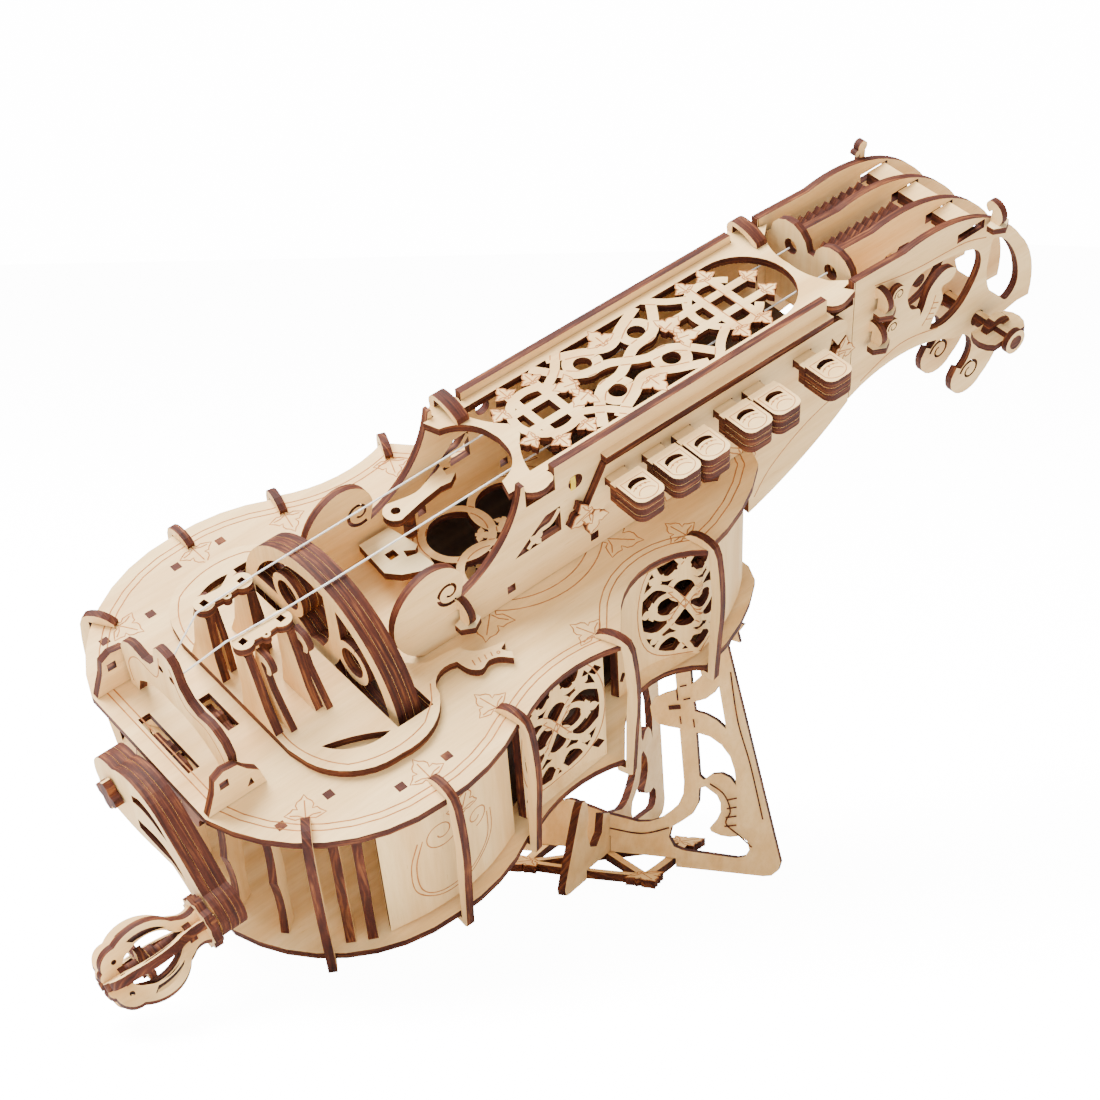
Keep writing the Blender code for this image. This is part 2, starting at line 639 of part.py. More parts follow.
# one arm, from the crossing out to its foot: u along the plate, v up
ARM = joined([(0, 17.8)], arc((8, 16.6), (19, 17), (25, 21), 4), arc((25, 21), (29, 25.5), (30.3, 33), 3),
             [(28.4, 53)], arc((24, 53.4), (17, 59), (22, 65.6), 5), [(27.2, 67.5)],
             arc((25.8, 80), (28.5, 89), (37.5, 93.4), 5), [(43, 94), (46.4, 96), (48.4, 94.4), (52.4, 93.6)],
             [(50, 90.4), (51, 86.8), (47.4, 87.6), (46.4, 85)], [(66.6, 9)],
             arc((66.6, 9), (66.2, 2.2), (61, 0), 4), [(NOTCH[0], 0)], [NOTCH])
ARM_WINDOWS = (
    joined([(32.8, 70)], [(31.7, 83.6)], arc((32.2, 86), (34, 88.6), (37, 89), 3),
           arc((37, 89), (41.4, 83), (38.5, 75.5), 4)),
    joined([(34.3, 60)], [(33.7, 63.4)], arc((35, 63.8), (40, 66), (43.2, 70.4), 3), [(46.2, 54.5)],
           arc((46, 54.5), (40.5, 58.4), (34.3, 60), 3)),
    joined(arc((34.8, 52), (44, 48.6), (49.6, 39), 4), [(50.4, 33.2)], arc((50.4, 33.2), (44.5, 37.4), (38, 34.4), 4),
           [(36.2, 35.8)]),
    joined([(38.6, 31.8)], arc((43, 29), (44.6, 25), (43.2, 20), 3), [(40.3, 16.3)], arc((41, 15), (46, 13.6), (52, 14.4), 3),
           arc((52, 14.4), (55.6, 10), (50.8, 5.9), 4), [(30.5, 6.6)], arc((30.5, 6.6), (25, 10), (29, 17.3), 4),
           arc((29, 17.3), (34.4, 22), (36.2, 31), 3)),
)


def arm_run(points, side, top):
    """The arm's points, stretched to its height and turned to one side of the crossing."""
    rise = (top - WAIST) / (ARM_A_TOP - WAIST)
    return [(side * u, v if v < WAIST else WAIST + (v - WAIST) * rise) for u, v in points]


def stand_plate(name, low_side, side, top, plane, pivot):
    """One plate: the arm on one side of the crossing, a low foot on the other."""
    outline = joined(arm_run(ARM, side, top), [(-side * u, v) for u, v in low_side])
    holes = [arm_run(ring, side, top) for ring in ARM_WINDOWS]
    return as_mesh(plate(name, outline, (0, 0, 0), plane, holes=holes, parent=pivot))


def stand(world):
    pivot = empty("stand_origin", (ORIGIN.x + STAND_XY[0], ORIGIN.y + STAND_XY[1], 0), world, (0, 0, STAND_TURN))
    hump = joined([NOTCH], [(NOTCH[0], 0)], [(61, 0)], arc((61, 0), (64.5, 3), (61, 7), 3),
                  arc((50, 7.6), (32, 10.3), (23, 15.4), 4), arc((19, 20), (15.5, 21.8), (11, 21), 4), [(3, 18.8)])
    prong = joined([NOTCH], [(NOTCH[0], 0)], [(47, 0)], arc((47, 0), (50.4, 1.6), (49.6, 5), 3), [(35, 28)],
                   arc((35, 28), (31, 30.6), (27, 28), 3), arc((25.6, 24), (20, 9.6), (9, 20), 5), [(3, 18.6)])
    a = stand_plate("stand_plate_a", hump, 1, ARM_A_TOP, "XZ", pivot)
    b = stand_plate("stand_plate_b", prong, 1, ARM_B_TOP, "YZ", pivot)
    w = PLY + 2 * GAP
    cut_a = plate("stand_slot_a", rect(-w / 2, -5, w / 2, CROSSING + GAP), (0, 0, 0), "XZ", thick=2 * w,
                  parent=pivot, collection=CUTTERS)
    cut_b = plate("stand_slot_b", rect(-w / 2, CROSSING, w / 2, 80), (0, 0, 0), "YZ", thick=2 * w,
                  parent=pivot, collection=CUTTERS)
    combine(a, [as_cutter(cut_a)], "DIFFERENCE")
    combine(b, [as_cutter(cut_b)], "DIFFERENCE")
    petal = []
    for i in range(48):
        t = math.tau * i / 48
        r = BASE_R - BASE_WAVE * math.cos(4 * t)
        petal.append((r * math.cos(t), r * math.sin(t)))
    plate("stand_base", petal, (0, 0, PLY / 2), parent=pivot)


# ---------------------------------------------------------------- whole object

def build():
    clear_scene()
    frame = empty("instrument_frame", ORIGIN, turn=TILT)
    soundboard(frame)
    back_plate(frame)
    side_panels(frame)
    ribs(frame)
    wheel_surround(frame)
    string_anchor(frame)
    tail_brackets(frame)
    bridges(frame)
    drive = empty("crank_axis", (0, 0, AXIS_Z), frame)
    wheel(drive)
    axle(drive)
    crank_arm(drive)
    crank_handle(empty("handle_axis", (0, HANDLE_Y, HANDLE_Z), drive))
    rosette_gear(empty("gear_axis", (14, -3, -62), frame))
    keybox_walls(frame)
    key_rail(frame)
    keys(frame)
    lid(empty("lid_hinge", (0, WALL_Y - PLY / 2 - GAP, GAP), frame))
    nut_plate(frame)
    pegbox(frame)
    cross_blocks(frame)
    tuner_racks(frame)
    tuning_pegs(frame)
    string_lifter(frame)
    strings(frame)
    stand(None)
    print("sub-parts:", len(MADE))


build()
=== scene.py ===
"""Looks of the plywood hurdy gurdy: birch sheets with burnt edges, engraving, frets and small parts.

Everything is drawn in millimetres in the instrument's own frame (+X crank to pegbox, +Y far side,
+Z up from the soundboard) or in the stand's frame, and carried to the world by matrices that are
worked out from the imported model's joints and boxes.
"""
import json
import math

import bmesh
import bpy
import numpy as np
from mathutils import Matrix, Vector
from mathutils.geometry import delaunay_2d_cdt


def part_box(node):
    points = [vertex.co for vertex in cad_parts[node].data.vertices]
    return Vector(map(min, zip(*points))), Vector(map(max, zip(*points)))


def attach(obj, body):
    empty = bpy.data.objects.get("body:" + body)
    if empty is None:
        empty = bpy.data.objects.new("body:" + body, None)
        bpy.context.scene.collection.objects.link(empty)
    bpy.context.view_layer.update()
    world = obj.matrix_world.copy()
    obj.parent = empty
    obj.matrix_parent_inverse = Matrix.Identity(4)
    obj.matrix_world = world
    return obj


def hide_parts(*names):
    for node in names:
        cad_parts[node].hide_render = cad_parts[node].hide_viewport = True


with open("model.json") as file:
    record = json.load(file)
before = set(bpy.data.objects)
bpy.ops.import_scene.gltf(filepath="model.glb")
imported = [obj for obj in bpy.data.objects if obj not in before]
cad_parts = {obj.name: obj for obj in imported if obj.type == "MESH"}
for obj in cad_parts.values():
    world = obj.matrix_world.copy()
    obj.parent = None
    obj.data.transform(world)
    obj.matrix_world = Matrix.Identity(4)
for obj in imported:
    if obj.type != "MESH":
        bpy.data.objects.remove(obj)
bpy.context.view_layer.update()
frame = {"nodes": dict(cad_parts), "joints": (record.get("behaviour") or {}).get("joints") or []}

MM = 0.001                                 # metres in a millimetre
PLY = 3.0                                  # thickness of a sheet
FLOOR_GLOW, BACKDROP = 13.0, 15.5          # glow of the table and the room as the camera sees them
ROOM_LIGHT = 0.85                          # glow of the room on the instrument
KEY_LIGHT, FRONT_LIGHT = 135.0, 12.0       # watts
SHEEN = 0.22                               # how much the raw wood mirrors the light
CRANK_AT = Vector((-61.5, 0.0, -50.0))     # where the crank's joint is in the instrument frame
GRIP_AT = (-49.0, -65.5)                   # y and z of the grip's pin
CAMERA_AT = Vector((-300.7, -438.7, 504.6))
CAMERA_TURN, CAMERA_DOWN = 32.63, 9.3      # degrees from +Y towards +X, and below the horizon
LENS, SENSOR = 74.0, 36.0
LAYER, LAYERS = 2.85, (-3.05, 0, 3.05)     # three glued sheets with a hairline between them
LINE_ABOVE, LINE_BELOW = 0.05, 0.1         # how far an engraved line stands out of and into its face


# ---------------------------------------------------------------- frames

def instrument_matrix():
    """Instrument millimetres to world metres, from the axes of the crank and of the rosette gear."""
    joints = {j["name"]: j for j in frame["joints"]}
    x = Vector(joints["crank_spin"]["axis"]).normalized()
    z = Vector(joints["gear_spin"]["axis"]).normalized()
    turn = Matrix((x, z.cross(x), z)).transposed()
    origin = Vector(joints["crank_spin"]["pos_m"]) - turn @ (CRANK_AT * MM)
    return Matrix.Translation(origin) @ turn.to_4x4() @ Matrix.Scale(MM, 4)


def stand_matrix():
    """Stand millimetres to world metres: u along plate A from the middle of the base."""
    low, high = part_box("stand_base")
    middle = Vector(((low.x + high.x) / 2, (low.y + high.y) / 2, 0))
    feet = [v.co - middle for v in frame["nodes"]["stand_plate_a"].data.vertices if v.co.z < 0.0001]
    foot = max((f for f in feet if f.x > 0), key=lambda f: f.xy.length)
    turn = math.atan2(foot.y, foot.x)
    return Matrix.Translation(middle) @ Matrix.Rotation(turn, 4, "Z") @ Matrix.Scale(MM, 4)


INSTR = instrument_matrix()
TO_INSTR = INSTR.inverted()
STAND = stand_matrix()


def ibox(node):
    """Lowest and highest corner of a CAD node in instrument millimetres."""
    co = np.array([TO_INSTR @ v.co for v in frame["nodes"][node].data.vertices])
    return Vector(co.min(0)), Vector(co.max(0))


def imiddle(node):
    """Middle of a CAD node's box in instrument millimetres."""
    low, high = ibox(node)
    return (low.x + high.x) / 2, (low.y + high.y) / 2, (low.z + high.z) / 2


DECK_TOP = ibox("soundboard")[1].z
DECK_LOW = ibox("soundboard")[0].z
BACK_TOP = ibox("back_plate")[1].z
SURROUND_TOP = ibox("wheel_surround")[1].z
LID_LOW, LID_HIGH = ibox("lid")
WALL_RIGHT = ibox("keybox_wall_right")
WALL_Y = imiddle("keybox_wall_right")[1]
RAIL = ibox("key_rail")


# ---------------------------------------------------------------- materials

def nodes_of(name, roughness):
    """A new node material, its tree and its shader."""
    mat = bpy.data.materials.new(name)
    mat.use_nodes = True
    tree = mat.node_tree
    shader = tree.nodes["Principled BSDF"]
    shader.inputs["Roughness"].default_value = roughness
    shader.inputs["Specular IOR Level"].default_value = SHEEN
    return mat, tree, shader


def noise(tree, source, scale, size=1.0, detail=6.0, rough=0.6):
    """Noise on coordinates stretched by a scale for each axis."""
    stretch = tree.nodes.new("ShaderNodeMapping")
    stretch.inputs["Scale"].default_value = scale
    tree.links.new(source, stretch.inputs["Vector"])
    tex = tree.nodes.new("ShaderNodeTexNoise")
    tex.inputs["Scale"].default_value = size
    tex.inputs["Detail"].default_value = detail
    tex.inputs["Roughness"].default_value = rough
    tree.links.new(stretch.outputs["Vector"], tex.inputs["Vector"])
    return tex.outputs["Fac"]


def ramp(tree, source, stops):
    """Colours from a value, at the given places."""
    node = tree.nodes.new("ShaderNodeValToRGB")
    elements = node.color_ramp.elements
    while len(elements) < len(stops):
        elements.new(0.5)
    for element, (place, colour) in zip(elements, stops):
        element.position = place
        element.color = (*colour, 1)
    tree.links.new(source, node.inputs["Fac"])
    return node.outputs["Color"]


def blend(tree, kind, amount, a, b):
    """Two colours mixed."""
    node = tree.nodes.new("ShaderNodeMix")
    node.data_type = "RGBA"
    node.blend_type = kind
    node.inputs["Factor"].default_value = amount
    tree.links.new(a, node.inputs[6])
    tree.links.new(b, node.inputs[7])
    return node.outputs[2]


def own_axes(tree):
    """Object coordinates turned to the instrument's axes, in metres."""
    coords = tree.nodes.new("ShaderNodeTexCoord")
    turn = tree.nodes.new("ShaderNodeMapping")
    turn.inputs["Rotation"].default_value = TO_INSTR.to_3x3().normalized().to_euler()
    tree.links.new(coords.outputs["Object"], turn.inputs["Vector"])
    return turn.outputs["Vector"]


def bump(tree, shader, source, strength, distance):
    node = tree.nodes.new("ShaderNodeBump")
    node.inputs["Strength"].default_value = strength
    node.inputs["Distance"].default_value = distance
    tree.links.new(source, node.inputs["Height"])
    tree.links.new(node.outputs["Normal"], shader.inputs["Normal"])


def birch(name, light, dark, along):
    """Birch veneer: long soft figure, fine grain and short flecks, running along one axis."""
    mat, tree, shader = nodes_of(name, 0.58)
    axes = own_axes(tree)
    stretched = {"X": (1, 12, 12), "Y": (12, 1, 12), "Z": (12, 12, 1)}[along]
    figure = noise(tree, axes, [9 * s for s in stretched], 1.0, 3.0, 0.5)
    grain = noise(tree, axes, [60 * s for s in stretched], 1.0, 8.0, 0.7)
    fleck = noise(tree, axes, [190 * s for s in stretched], 1.0, 2.0, 0.5)
    base = ramp(tree, figure, [(0.30, dark), (0.62, light)])
    fine = ramp(tree, grain, [(0.34, (0.84, 0.79, 0.72)), (0.60, (1, 1, 1))])
    dots = ramp(tree, fleck, [(0.24, (0.74, 0.62, 0.50)), (0.33, (1, 1, 1))])
    colour = blend(tree, "MULTIPLY", 0.55, base, fine)
    colour = blend(tree, "MULTIPLY", 0.55, colour, dots)
    tree.links.new(colour, shader.inputs["Base Color"])
    bump(tree, shader, grain, 0.12, 0.0002)
    return mat


def burnt(name, core, char, spread, across):
    """Laser-cut edge: burnt red-brown with the plies' streaks across one axis."""
    mat, tree, shader = nodes_of(name, 0.7)
    axes = own_axes(tree)
    streak = noise(tree, axes, {"X": (950, 55, 55), "Y": (55, 950, 55), "Z": (55, 55, 950)}[across], 1.0,
                   5.0, 0.65)
    patch = noise(tree, axes, (90, 90, 90), 1.0, 3.0, 0.5)
    base = ramp(tree, streak, [(0.30, char), (0.52, core), (0.74, spread)])
    shade = ramp(tree, patch, [(0.32, (0.55, 0.50, 0.50)), (0.62, (1, 1, 1))])
    tree.links.new(blend(tree, "MULTIPLY", 0.7, base, shade), shader.inputs["Base Color"])
    bump(tree, shader, streak, 0.25, 0.0002)
    return mat


def stained(name, dark, light, roughness):
    """Fine patches of two colours."""
    mat, tree, shader = nodes_of(name, roughness)
    axes = own_axes(tree)
    tree.links.new(ramp(tree, noise(tree, axes, (400, 400, 400)), [(0.35, dark), (0.65, light)]),
                   shader.inputs["Base Color"])
    return mat


CREAM, SAND = (0.84, 0.57, 0.255), (0.71, 0.43, 0.165)
FACE = {axis: birch("birch_" + axis.lower(), CREAM, SAND, axis) for axis in "XYZ"}
WARM = birch("birch_yellow", (0.80, 0.62, 0.33), (0.70, 0.50, 0.24), "X")
EDGES = [burnt("burnt_edge_" + axis.lower(), (0.072, 0.014, 0.005), (0.020, 0.004, 0.002),
               (0.270, 0.090, 0.025), axis)
         for axis in "XYZ"]
EDGE = EDGES[2]
# painted shade: near-black birch for sheets that stand for the shadow inside the body and the keybox
PAINTED_SHADE = birch("birch_painted_shade", (0.075, 0.040, 0.022), (0.040, 0.020, 0.012), "X")
LINE = stained("engraved_line", (0.30, 0.105, 0.030), (0.46, 0.19, 0.06), 0.8)
RUBBER = stained("rubber_band", (0.62, 0.42, 0.02), (0.80, 0.58, 0.05), 0.4)
NYLON = stained("nylon", (0.80, 0.78, 0.72), (0.90, 0.88, 0.84), 0.25)
NYLON.node_tree.nodes["Principled BSDF"].inputs["Transmission Weight"].default_value = 0.4


# ---------------------------------------------------------------- outlines

def arc(start, middle, end, steps=10):
    """Points on the circle through three points, from start to end."""
    (ax, ay), (bx, by), (cx, cy) = start, middle, end
    d = 2 * (ax * (by - cy) + bx * (cy - ay) + cx * (ay - by))
    a2, b2, c2 = ax * ax + ay * ay, bx * bx + by * by, cx * cx + cy * cy
    ux = (a2 * (by - cy) + b2 * (cy - ay) + c2 * (ay - by)) / d
    uy = (a2 * (cx - bx) + b2 * (ax - cx) + c2 * (bx - ax)) / d
    r = math.hypot(ax - ux, ay - uy)
    t0, t1, t2 = (math.atan2(y - uy, x - ux) for x, y in (start, middle, end))
    turn = (t2 - t0) % math.tau
    if (t1 - t0) % math.tau > turn:
        turn -= math.tau
    return [(ux + r * math.cos(t0 + turn * i / steps), uy + r * math.sin(t0 + turn * i / steps))
            for i in range(steps + 1)]


def circle(x, y, r, steps=32):
    return [(x + r * math.cos(math.tau * i / steps), y + r * math.sin(math.tau * i / steps))
            for i in range(steps)]


def gear_ring(r, tall, teeth):
    """Outline of a gear with square teeth, from the root radius out."""
    return [((r + tall * k) * math.cos(math.tau * j / (4 * teeth)),
             (r + tall * k) * math.sin(math.tau * j / (4 * teeth)))
            for j, k in enumerate((0, 1, 1, 0) * teeth)]


def rect(x0, y0, x1, y1):
    return [(x0, y0), (x1, y0), (x1, y1), (x0, y1)]


def flipped(points):
    """The points mirrored in y, taken backwards."""
    return [(x, -y) for x, y in reversed(points)]


def moved(points, x, y, turn=0.0, size=1.0):
    """The points scaled, turned by degrees and shifted."""
    c, s = math.cos(math.radians(turn)) * size, math.sin(math.radians(turn)) * size
    return [(x + px * c - py * s, y + px * s + py * c) for px, py in points]


def joined(*runs):
    """One run from several, without doubled points."""
    out = []
    for run in runs:
        for p in run:
            if not out or math.dist(p, out[-1]) > 0.02:
                out.append(p)
    if math.dist(out[0], out[-1]) < 0.02:
        out.pop()
    return out


def smooth(points, steps=8, closed=False):
    """A flowing run through the points."""
    n = len(points)
    spans = n if closed else n - 1
    out = []
    for i in range(spans):
        if closed:
            p0, p1, p2, p3 = (Vector(points[(i + k) % n]) for k in (-1, 0, 1, 2))
        else:
            p0, p1, p2, p3 = (Vector(points[min(max(i + k, 0), n - 1)]) for k in (-1, 0, 1, 2))
        for k in range(steps):
            t = k / steps
            out.append(tuple(0.5 * (2 * p1 + (p2 - p0) * t + (2 * p0 - 5 * p1 + 4 * p2 - p3) * t * t
                                    + (3 * p1 - p0 - 3 * p2 + p3) * t ** 3)))
    if not closed:
        out.append(tuple(points[-1]))
    return out


def band(path, width, end_width=None):
    """Closed outline of a strap along a path, tapering to end_width."""
    last = width if end_width is None else end_width
    left, right = [], []
    for i, p in enumerate(path):
        d = (Vector(path[min(i + 1, len(path) - 1)]) - Vector(path[max(i - 1, 0)])).normalized()
        half = (width + (last - width) * i / (len(path) - 1)) / 2
        left.append((p[0] - d.y * half, p[1] + d.x * half))
        right.append((p[0] + d.y * half, p[1] - d.x * half))
    return left + right[::-1]


def ring_band(x, y, r, width, start=0.0, sweep=359.0):
    """A strap bent round a circle."""
    a = [math.radians(start + sweep * i / 40) for i in range(41)]
    return band([(x + r * math.cos(t), y + r * math.sin(t)) for t in a], width)


def spiral(x, y, r0, r1, start, turns, steps=30):
    """Run that winds from radius r0 to r1."""
    return [(x + (r0 + (r1 - r0) * i / steps) * math.cos(math.radians(start) + math.tau * turns * i / steps),
             y + (r0 + (r1 - r0) * i / steps) * math.sin(math.radians(start) + math.tau * turns * i / steps))
            for i in range(steps + 1)]


FLEUR_HALF = [(0, 0.11), (0.13, 0.15), (0.10, 0.30), (0.17, 0.44), (0.28, 0.62), (0.40, 0.44), (0.50, 0.36),
              (0.47, 0.22), (0.62, 0.27), (0.74, 0.22), (0.84, 0.09), (1.0, 0)]


def fleur(x, y, turn, size):
    """Five-pointed leaf with its stem at (x, y)."""
    return moved(FLEUR_HALF + [(px, -py) for px, py in reversed(FLEUR_HALF[:-1])], x, y, turn, size)


def fleur_veins(x, y, turn, size):
    """Three burnt lines from a leaf's stem into its points."""
    veins = ([(0.02, 0), (0.78, 0)], [(0.14, 0.04), (0.24, 0.22), (0.27, 0.46)],
             [(0.14, -0.04), (0.24, -0.22), (0.27, -0.46)])
    return [moved(vein, x, y, turn, size) for vein in veins]


def inside(points, ring):
    """Which points lie inside a closed ring."""
    a = np.asarray(ring, float)
    b = np.roll(a, -1, 0)
    x, y = points[:, 0:1], points[:, 1:2]
    across = (a[:, 1] > y) != (b[:, 1] > y)
    rise = np.where(np.abs(b[:, 1] - a[:, 1]) < 1e-9, 1e-9, b[:, 1] - a[:, 1])
    return ((across & (x < (b[:, 0] - a[:, 0]) * (y - a[:, 1]) / rise + a[:, 0])).sum(1) % 2) == 1


def crossings(straps):
    """Stretches of each strap's two edges that lie over the straps drawn before it."""
    runs = []
    for i, strap in enumerate(straps):
        half = len(strap) // 2
        for run in (strap[:half], strap[half:]):
            points = np.asarray(run, float)
            over = np.zeros(len(points), bool)
            for other in straps[:i]:
                over |= inside(points, other)
            part = []
            for p, hit in zip(run, over):
                if hit:
                    part.append(p)
                else:
                    if len(part) > 1:
                        runs.append(part)
                    part = []
            if len(part) > 1:
                runs.append(part)
    return runs


# ---------------------------------------------------------------- meshes

def flat(plane, at):
    """Puts a sheet's (u, v, w) in the instrument frame; w points at the viewer's side."""
    x, y, z = at
    return {"XY": lambda u, v, w: (x + u, y + v, z + w),
            "XZ": lambda u, v, w: (x + u, y - w, z + v),
            "YZ": lambda u, v, w: (x - w, y + u, z + v)}[plane]


def level(z):
    """Plane of a level sheet at a height."""
    return flat("XY", (0, 0, z))


def upright(y):
    """Plane of an upright sheet that runs along the instrument."""
    return flat("XZ", (0, y, 0))


def crosswise(x):
    """Plane of an upright sheet that stands across the instrument."""
    return flat("YZ", (x, 0, 0))


def finish(name, verts, faces, marks, mats, body, base):
    """Makes the object, with faces turned outward, and puts it on its body."""
    mesh = bpy.data.meshes.new(name)
    mesh.from_pydata([base @ Vector(v) for v in verts], [], faces)
    for mat in mats:
        mesh.materials.append(mat)
    mesh.polygons.foreach_set("material_index", marks)
    bm = bmesh.new()
    bm.from_mesh(mesh)
    bmesh.ops.recalc_face_normals(bm, faces=bm.faces)
    bm.to_mesh(mesh)
    bm.free()
    obj = bpy.data.objects.new(name, mesh)
    bpy.context.scene.collection.objects.link(obj)
    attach(obj, body)
    return obj


def grid_points(ring_points, step):
    """Even points over the rings' box, so that a bent sheet can follow its curve."""
    lo = [min(v[k] for v in ring_points) for k in (0, 1)]
    hi = [max(v[k] for v in ring_points) for k in (0, 1)]
    cols, rows = int((hi[0] - lo[0]) / step), int((hi[1] - lo[1]) / step)
    return [Vector((lo[0] + step * (i + 0.5),
                    lo[1] + step * (j + 0.5))) for i in range(cols) for j in range(rows)]


def triangles(solids, holes, over, grid):
    """Points and triangles of the solids less the holes plus what lies over them."""
    verts, edges = [], []
    for ring in (*solids, *holes, *over):
        first = len(verts)
        verts += [Vector(p) for p in ring]
        edges += [(first + i, first + (i + 1) % len(ring)) for i in range(len(ring))]
    if grid:
        verts += grid_points(verts, grid)
    points, _, tris, *_ = delaunay_2d_cdt(verts, edges, [], 0, 1e-4)
    points = np.array([tuple(p) for p in points])
    tri = np.array([t for t in tris if len(t) == 3])
    mid = points[tri].mean(1)
    keep = np.zeros(len(tri), bool)
    for ring in solids:
        keep |= inside(mid, ring)
    for ring in holes:
        keep &= ~inside(mid, ring)
    for ring in over:
        keep |= inside(mid, ring)
    return points, tri[keep]


def sheet(name, solids, put, holes=(), over=(), thick=PLY, body="frame", face=None,
          grid=None, base=None, shifts=(0.0,)):
    """A cut sheet with burnt edges; shifts stack copies of it."""
    points, tri = triangles(solids, holes, over, grid)
    used = sorted(set(tri.ravel().tolist()))
    index = {v: i for i, v in enumerate(used)}
    count = len(used)
    out, faces, marks = [], [], []
    for shift in shifts:
        first = len(out)
        for w in (shift + thick / 2, shift - thick / 2):
            out += [put(*points[v], w) for v in used]
        rim = {}
        for a, b, c in tri.tolist():
            a, b, c = index[a], index[b], index[c]
            faces += [(first + a, first + b, first + c),
                      (first + count + c, first + count + b, first + count + a)]
            marks += [0, 0]
            for e in ((a, b), (b, c), (c, a)):
                if (e[1], e[0]) in rim:
                    del rim[(e[1], e[0])]
                else:
                    rim[e] = True
        for a, b in rim:
            faces.append((first + a, first + count + a, first + count + b, first + b))
            marks.append(1)
    base = base or INSTR
    across = base.to_3x3() @ (Vector(put(0, 0, 1)) - Vector(put(0, 0, 0)))
    return finish(name, out, faces, marks, (face or FACE["X"], EDGES[axis_of(across)]), body, base)


def engrave(name, runs, put, width=0.46, body="frame", base=None, mat=None):
    """Burnt lines that stand a hair above the face they are cut in."""
    out, faces = [], []
    for run in runs:
        if len(run) < 2:
            continue
        edge = band(run, width)
        n = len(run)
        first = len(out)
        for i in range(n):
            left, right = edge[i], edge[2 * n - 1 - i]
            out += [put(*left, LINE_ABOVE), put(*right, LINE_ABOVE),
                    put(*right, -LINE_BELOW), put(*left, -LINE_BELOW)]
        for i in range(n - 1):
            a = first + 4 * i
            faces += [(a + k, a + (k + 1) % 4, a + 4 + (k + 1) % 4, a + 4 + k) for k in range(4)]
        last = first + 4 * (n - 1)
        faces += [(first + 3, first + 2, first + 1, first), (last, last + 1, last + 2, last + 3)]
    return finish(name, out, faces, [0] * len(faces), (mat or LINE,), body, base or INSTR)


def closed(run):
    """The run back to its first point."""
    return [*run, run[0]]


# ---------------------------------------------------------------- camera, lights, table

def camera():
    data = bpy.data.cameras.new("camera")
    data.lens = LENS
    data.sensor_width = SENSOR
    obj = bpy.data.objects.new("camera", data)
    bpy.context.scene.collection.objects.link(obj)
    obj.location = INSTR @ CAMERA_AT
    away, down = math.radians(CAMERA_TURN), math.radians(CAMERA_DOWN)
    look = Vector((math.sin(away) * math.cos(down), math.cos(away) * math.cos(down), -math.sin(down)))
    obj.rotation_euler = look.to_track_quat("-Z", "Y").to_euler()
    bpy.context.scene.camera = obj


def lamp(name, place, size, energy, target=(0, 0, 0.1)):
    data = bpy.data.lights.new(name, "AREA")
    data.size = size
    data.energy = energy
    obj = bpy.data.objects.new(name, data)
    bpy.context.scene.collection.objects.link(obj)
    obj.location = place
    obj.rotation_euler = (Vector(target) - Vector(place)).to_track_quat("-Z", "Y").to_euler()


def seen_only(tree, lit, seen):
    """One strength for what is lit, another for what is looked at directly."""
    path = tree.nodes.new("ShaderNodeLightPath")
    level = tree.nodes.new("ShaderNodeMapRange")
    level.inputs["To Min"].default_value = lit
    level.inputs["To Max"].default_value = seen
    tree.links.new(path.outputs["Is Camera Ray"], level.inputs["Value"])
    return level.outputs["Result"]


def stage():
    """White table and room, brighter to the camera than to the instrument, and two lamps."""
    mesh = bpy.data.meshes.new("table")
    size = 6.0
    mesh.from_pydata([(-size, -size, 0), (size, -size, 0), (size, size, 0), (-size, size, 0)], [],
                     [(0, 1, 2, 3)])
    obj = bpy.data.objects.new("table", mesh)
    bpy.context.scene.collection.objects.link(obj)
    mat, tree, shader = nodes_of("table_white", 0.9)
    shader.inputs["Base Color"].default_value = (0.93, 0.93, 0.93, 1)
    shader.inputs["Emission Color"].default_value = (1, 1, 1, 1)
    tree.links.new(seen_only(tree, 0.0, FLOOR_GLOW), shader.inputs["Emission Strength"])
    mesh.materials.append(mat)
    world = bpy.data.worlds.new("studio")
    bpy.context.scene.world = world
    world.use_nodes = True
    tree = world.node_tree
    back = tree.nodes["Background"]
    back.inputs["Color"].default_value = (1, 1, 1, 1)
    tree.links.new(seen_only(tree, ROOM_LIGHT, BACKDROP), back.inputs["Strength"])
    lamp("key", (-0.7, 0.3, 1.7), 1.2, KEY_LIGHT)
    lamp("front", (-0.9, -1.3, 0.8), 1.2, FRONT_LIGHT)


# ---------------------------------------------------------------- CAD sheets

def axis_of(normal):
    """Which instrument axis a direction is nearest to."""
    local = TO_INSTR.to_3x3() @ normal
    return max(range(3), key=lambda k: abs(local[k]))


def dress_node(name, face=None):
    """Birch on the two broad faces of a sheet and burnt wood on its cut edges."""
    mesh = frame["nodes"][name].data
    totals = []
    for poly in mesh.polygons:
        for entry in totals:
            if abs(entry[0].dot(poly.normal)) > 0.95:
                entry[1] += poly.area
                break
        else:
            totals.append([poly.normal.copy(), poly.area])
    broad = max(totals, key=lambda e: e[1])[0]
    along = "Z" if axis_of(broad) == 0 else "X"
    mesh.materials.clear()
    mesh.materials.append(face or FACE[along])
    mesh.materials.append(EDGES[axis_of(broad)])
    for poly in mesh.polygons:
        poly.material_index = 0 if abs(poly.normal.dot(broad)) > 0.9 else 1
        poly.use_smooth = False


def dress_panel(name):
    """A bent side: everything that faces sideways is veneer."""
    mesh = frame["nodes"][name].data
    up = (INSTR.to_3x3() @ Vector((0, 0, 1))).normalized()
    mesh.materials.clear()
    mesh.materials.append(FACE["Z"])
    mesh.materials.append(EDGE)
    for poly in mesh.polygons:
        poly.material_index = 1 if abs(poly.normal.dot(up)) > 0.7 else 0


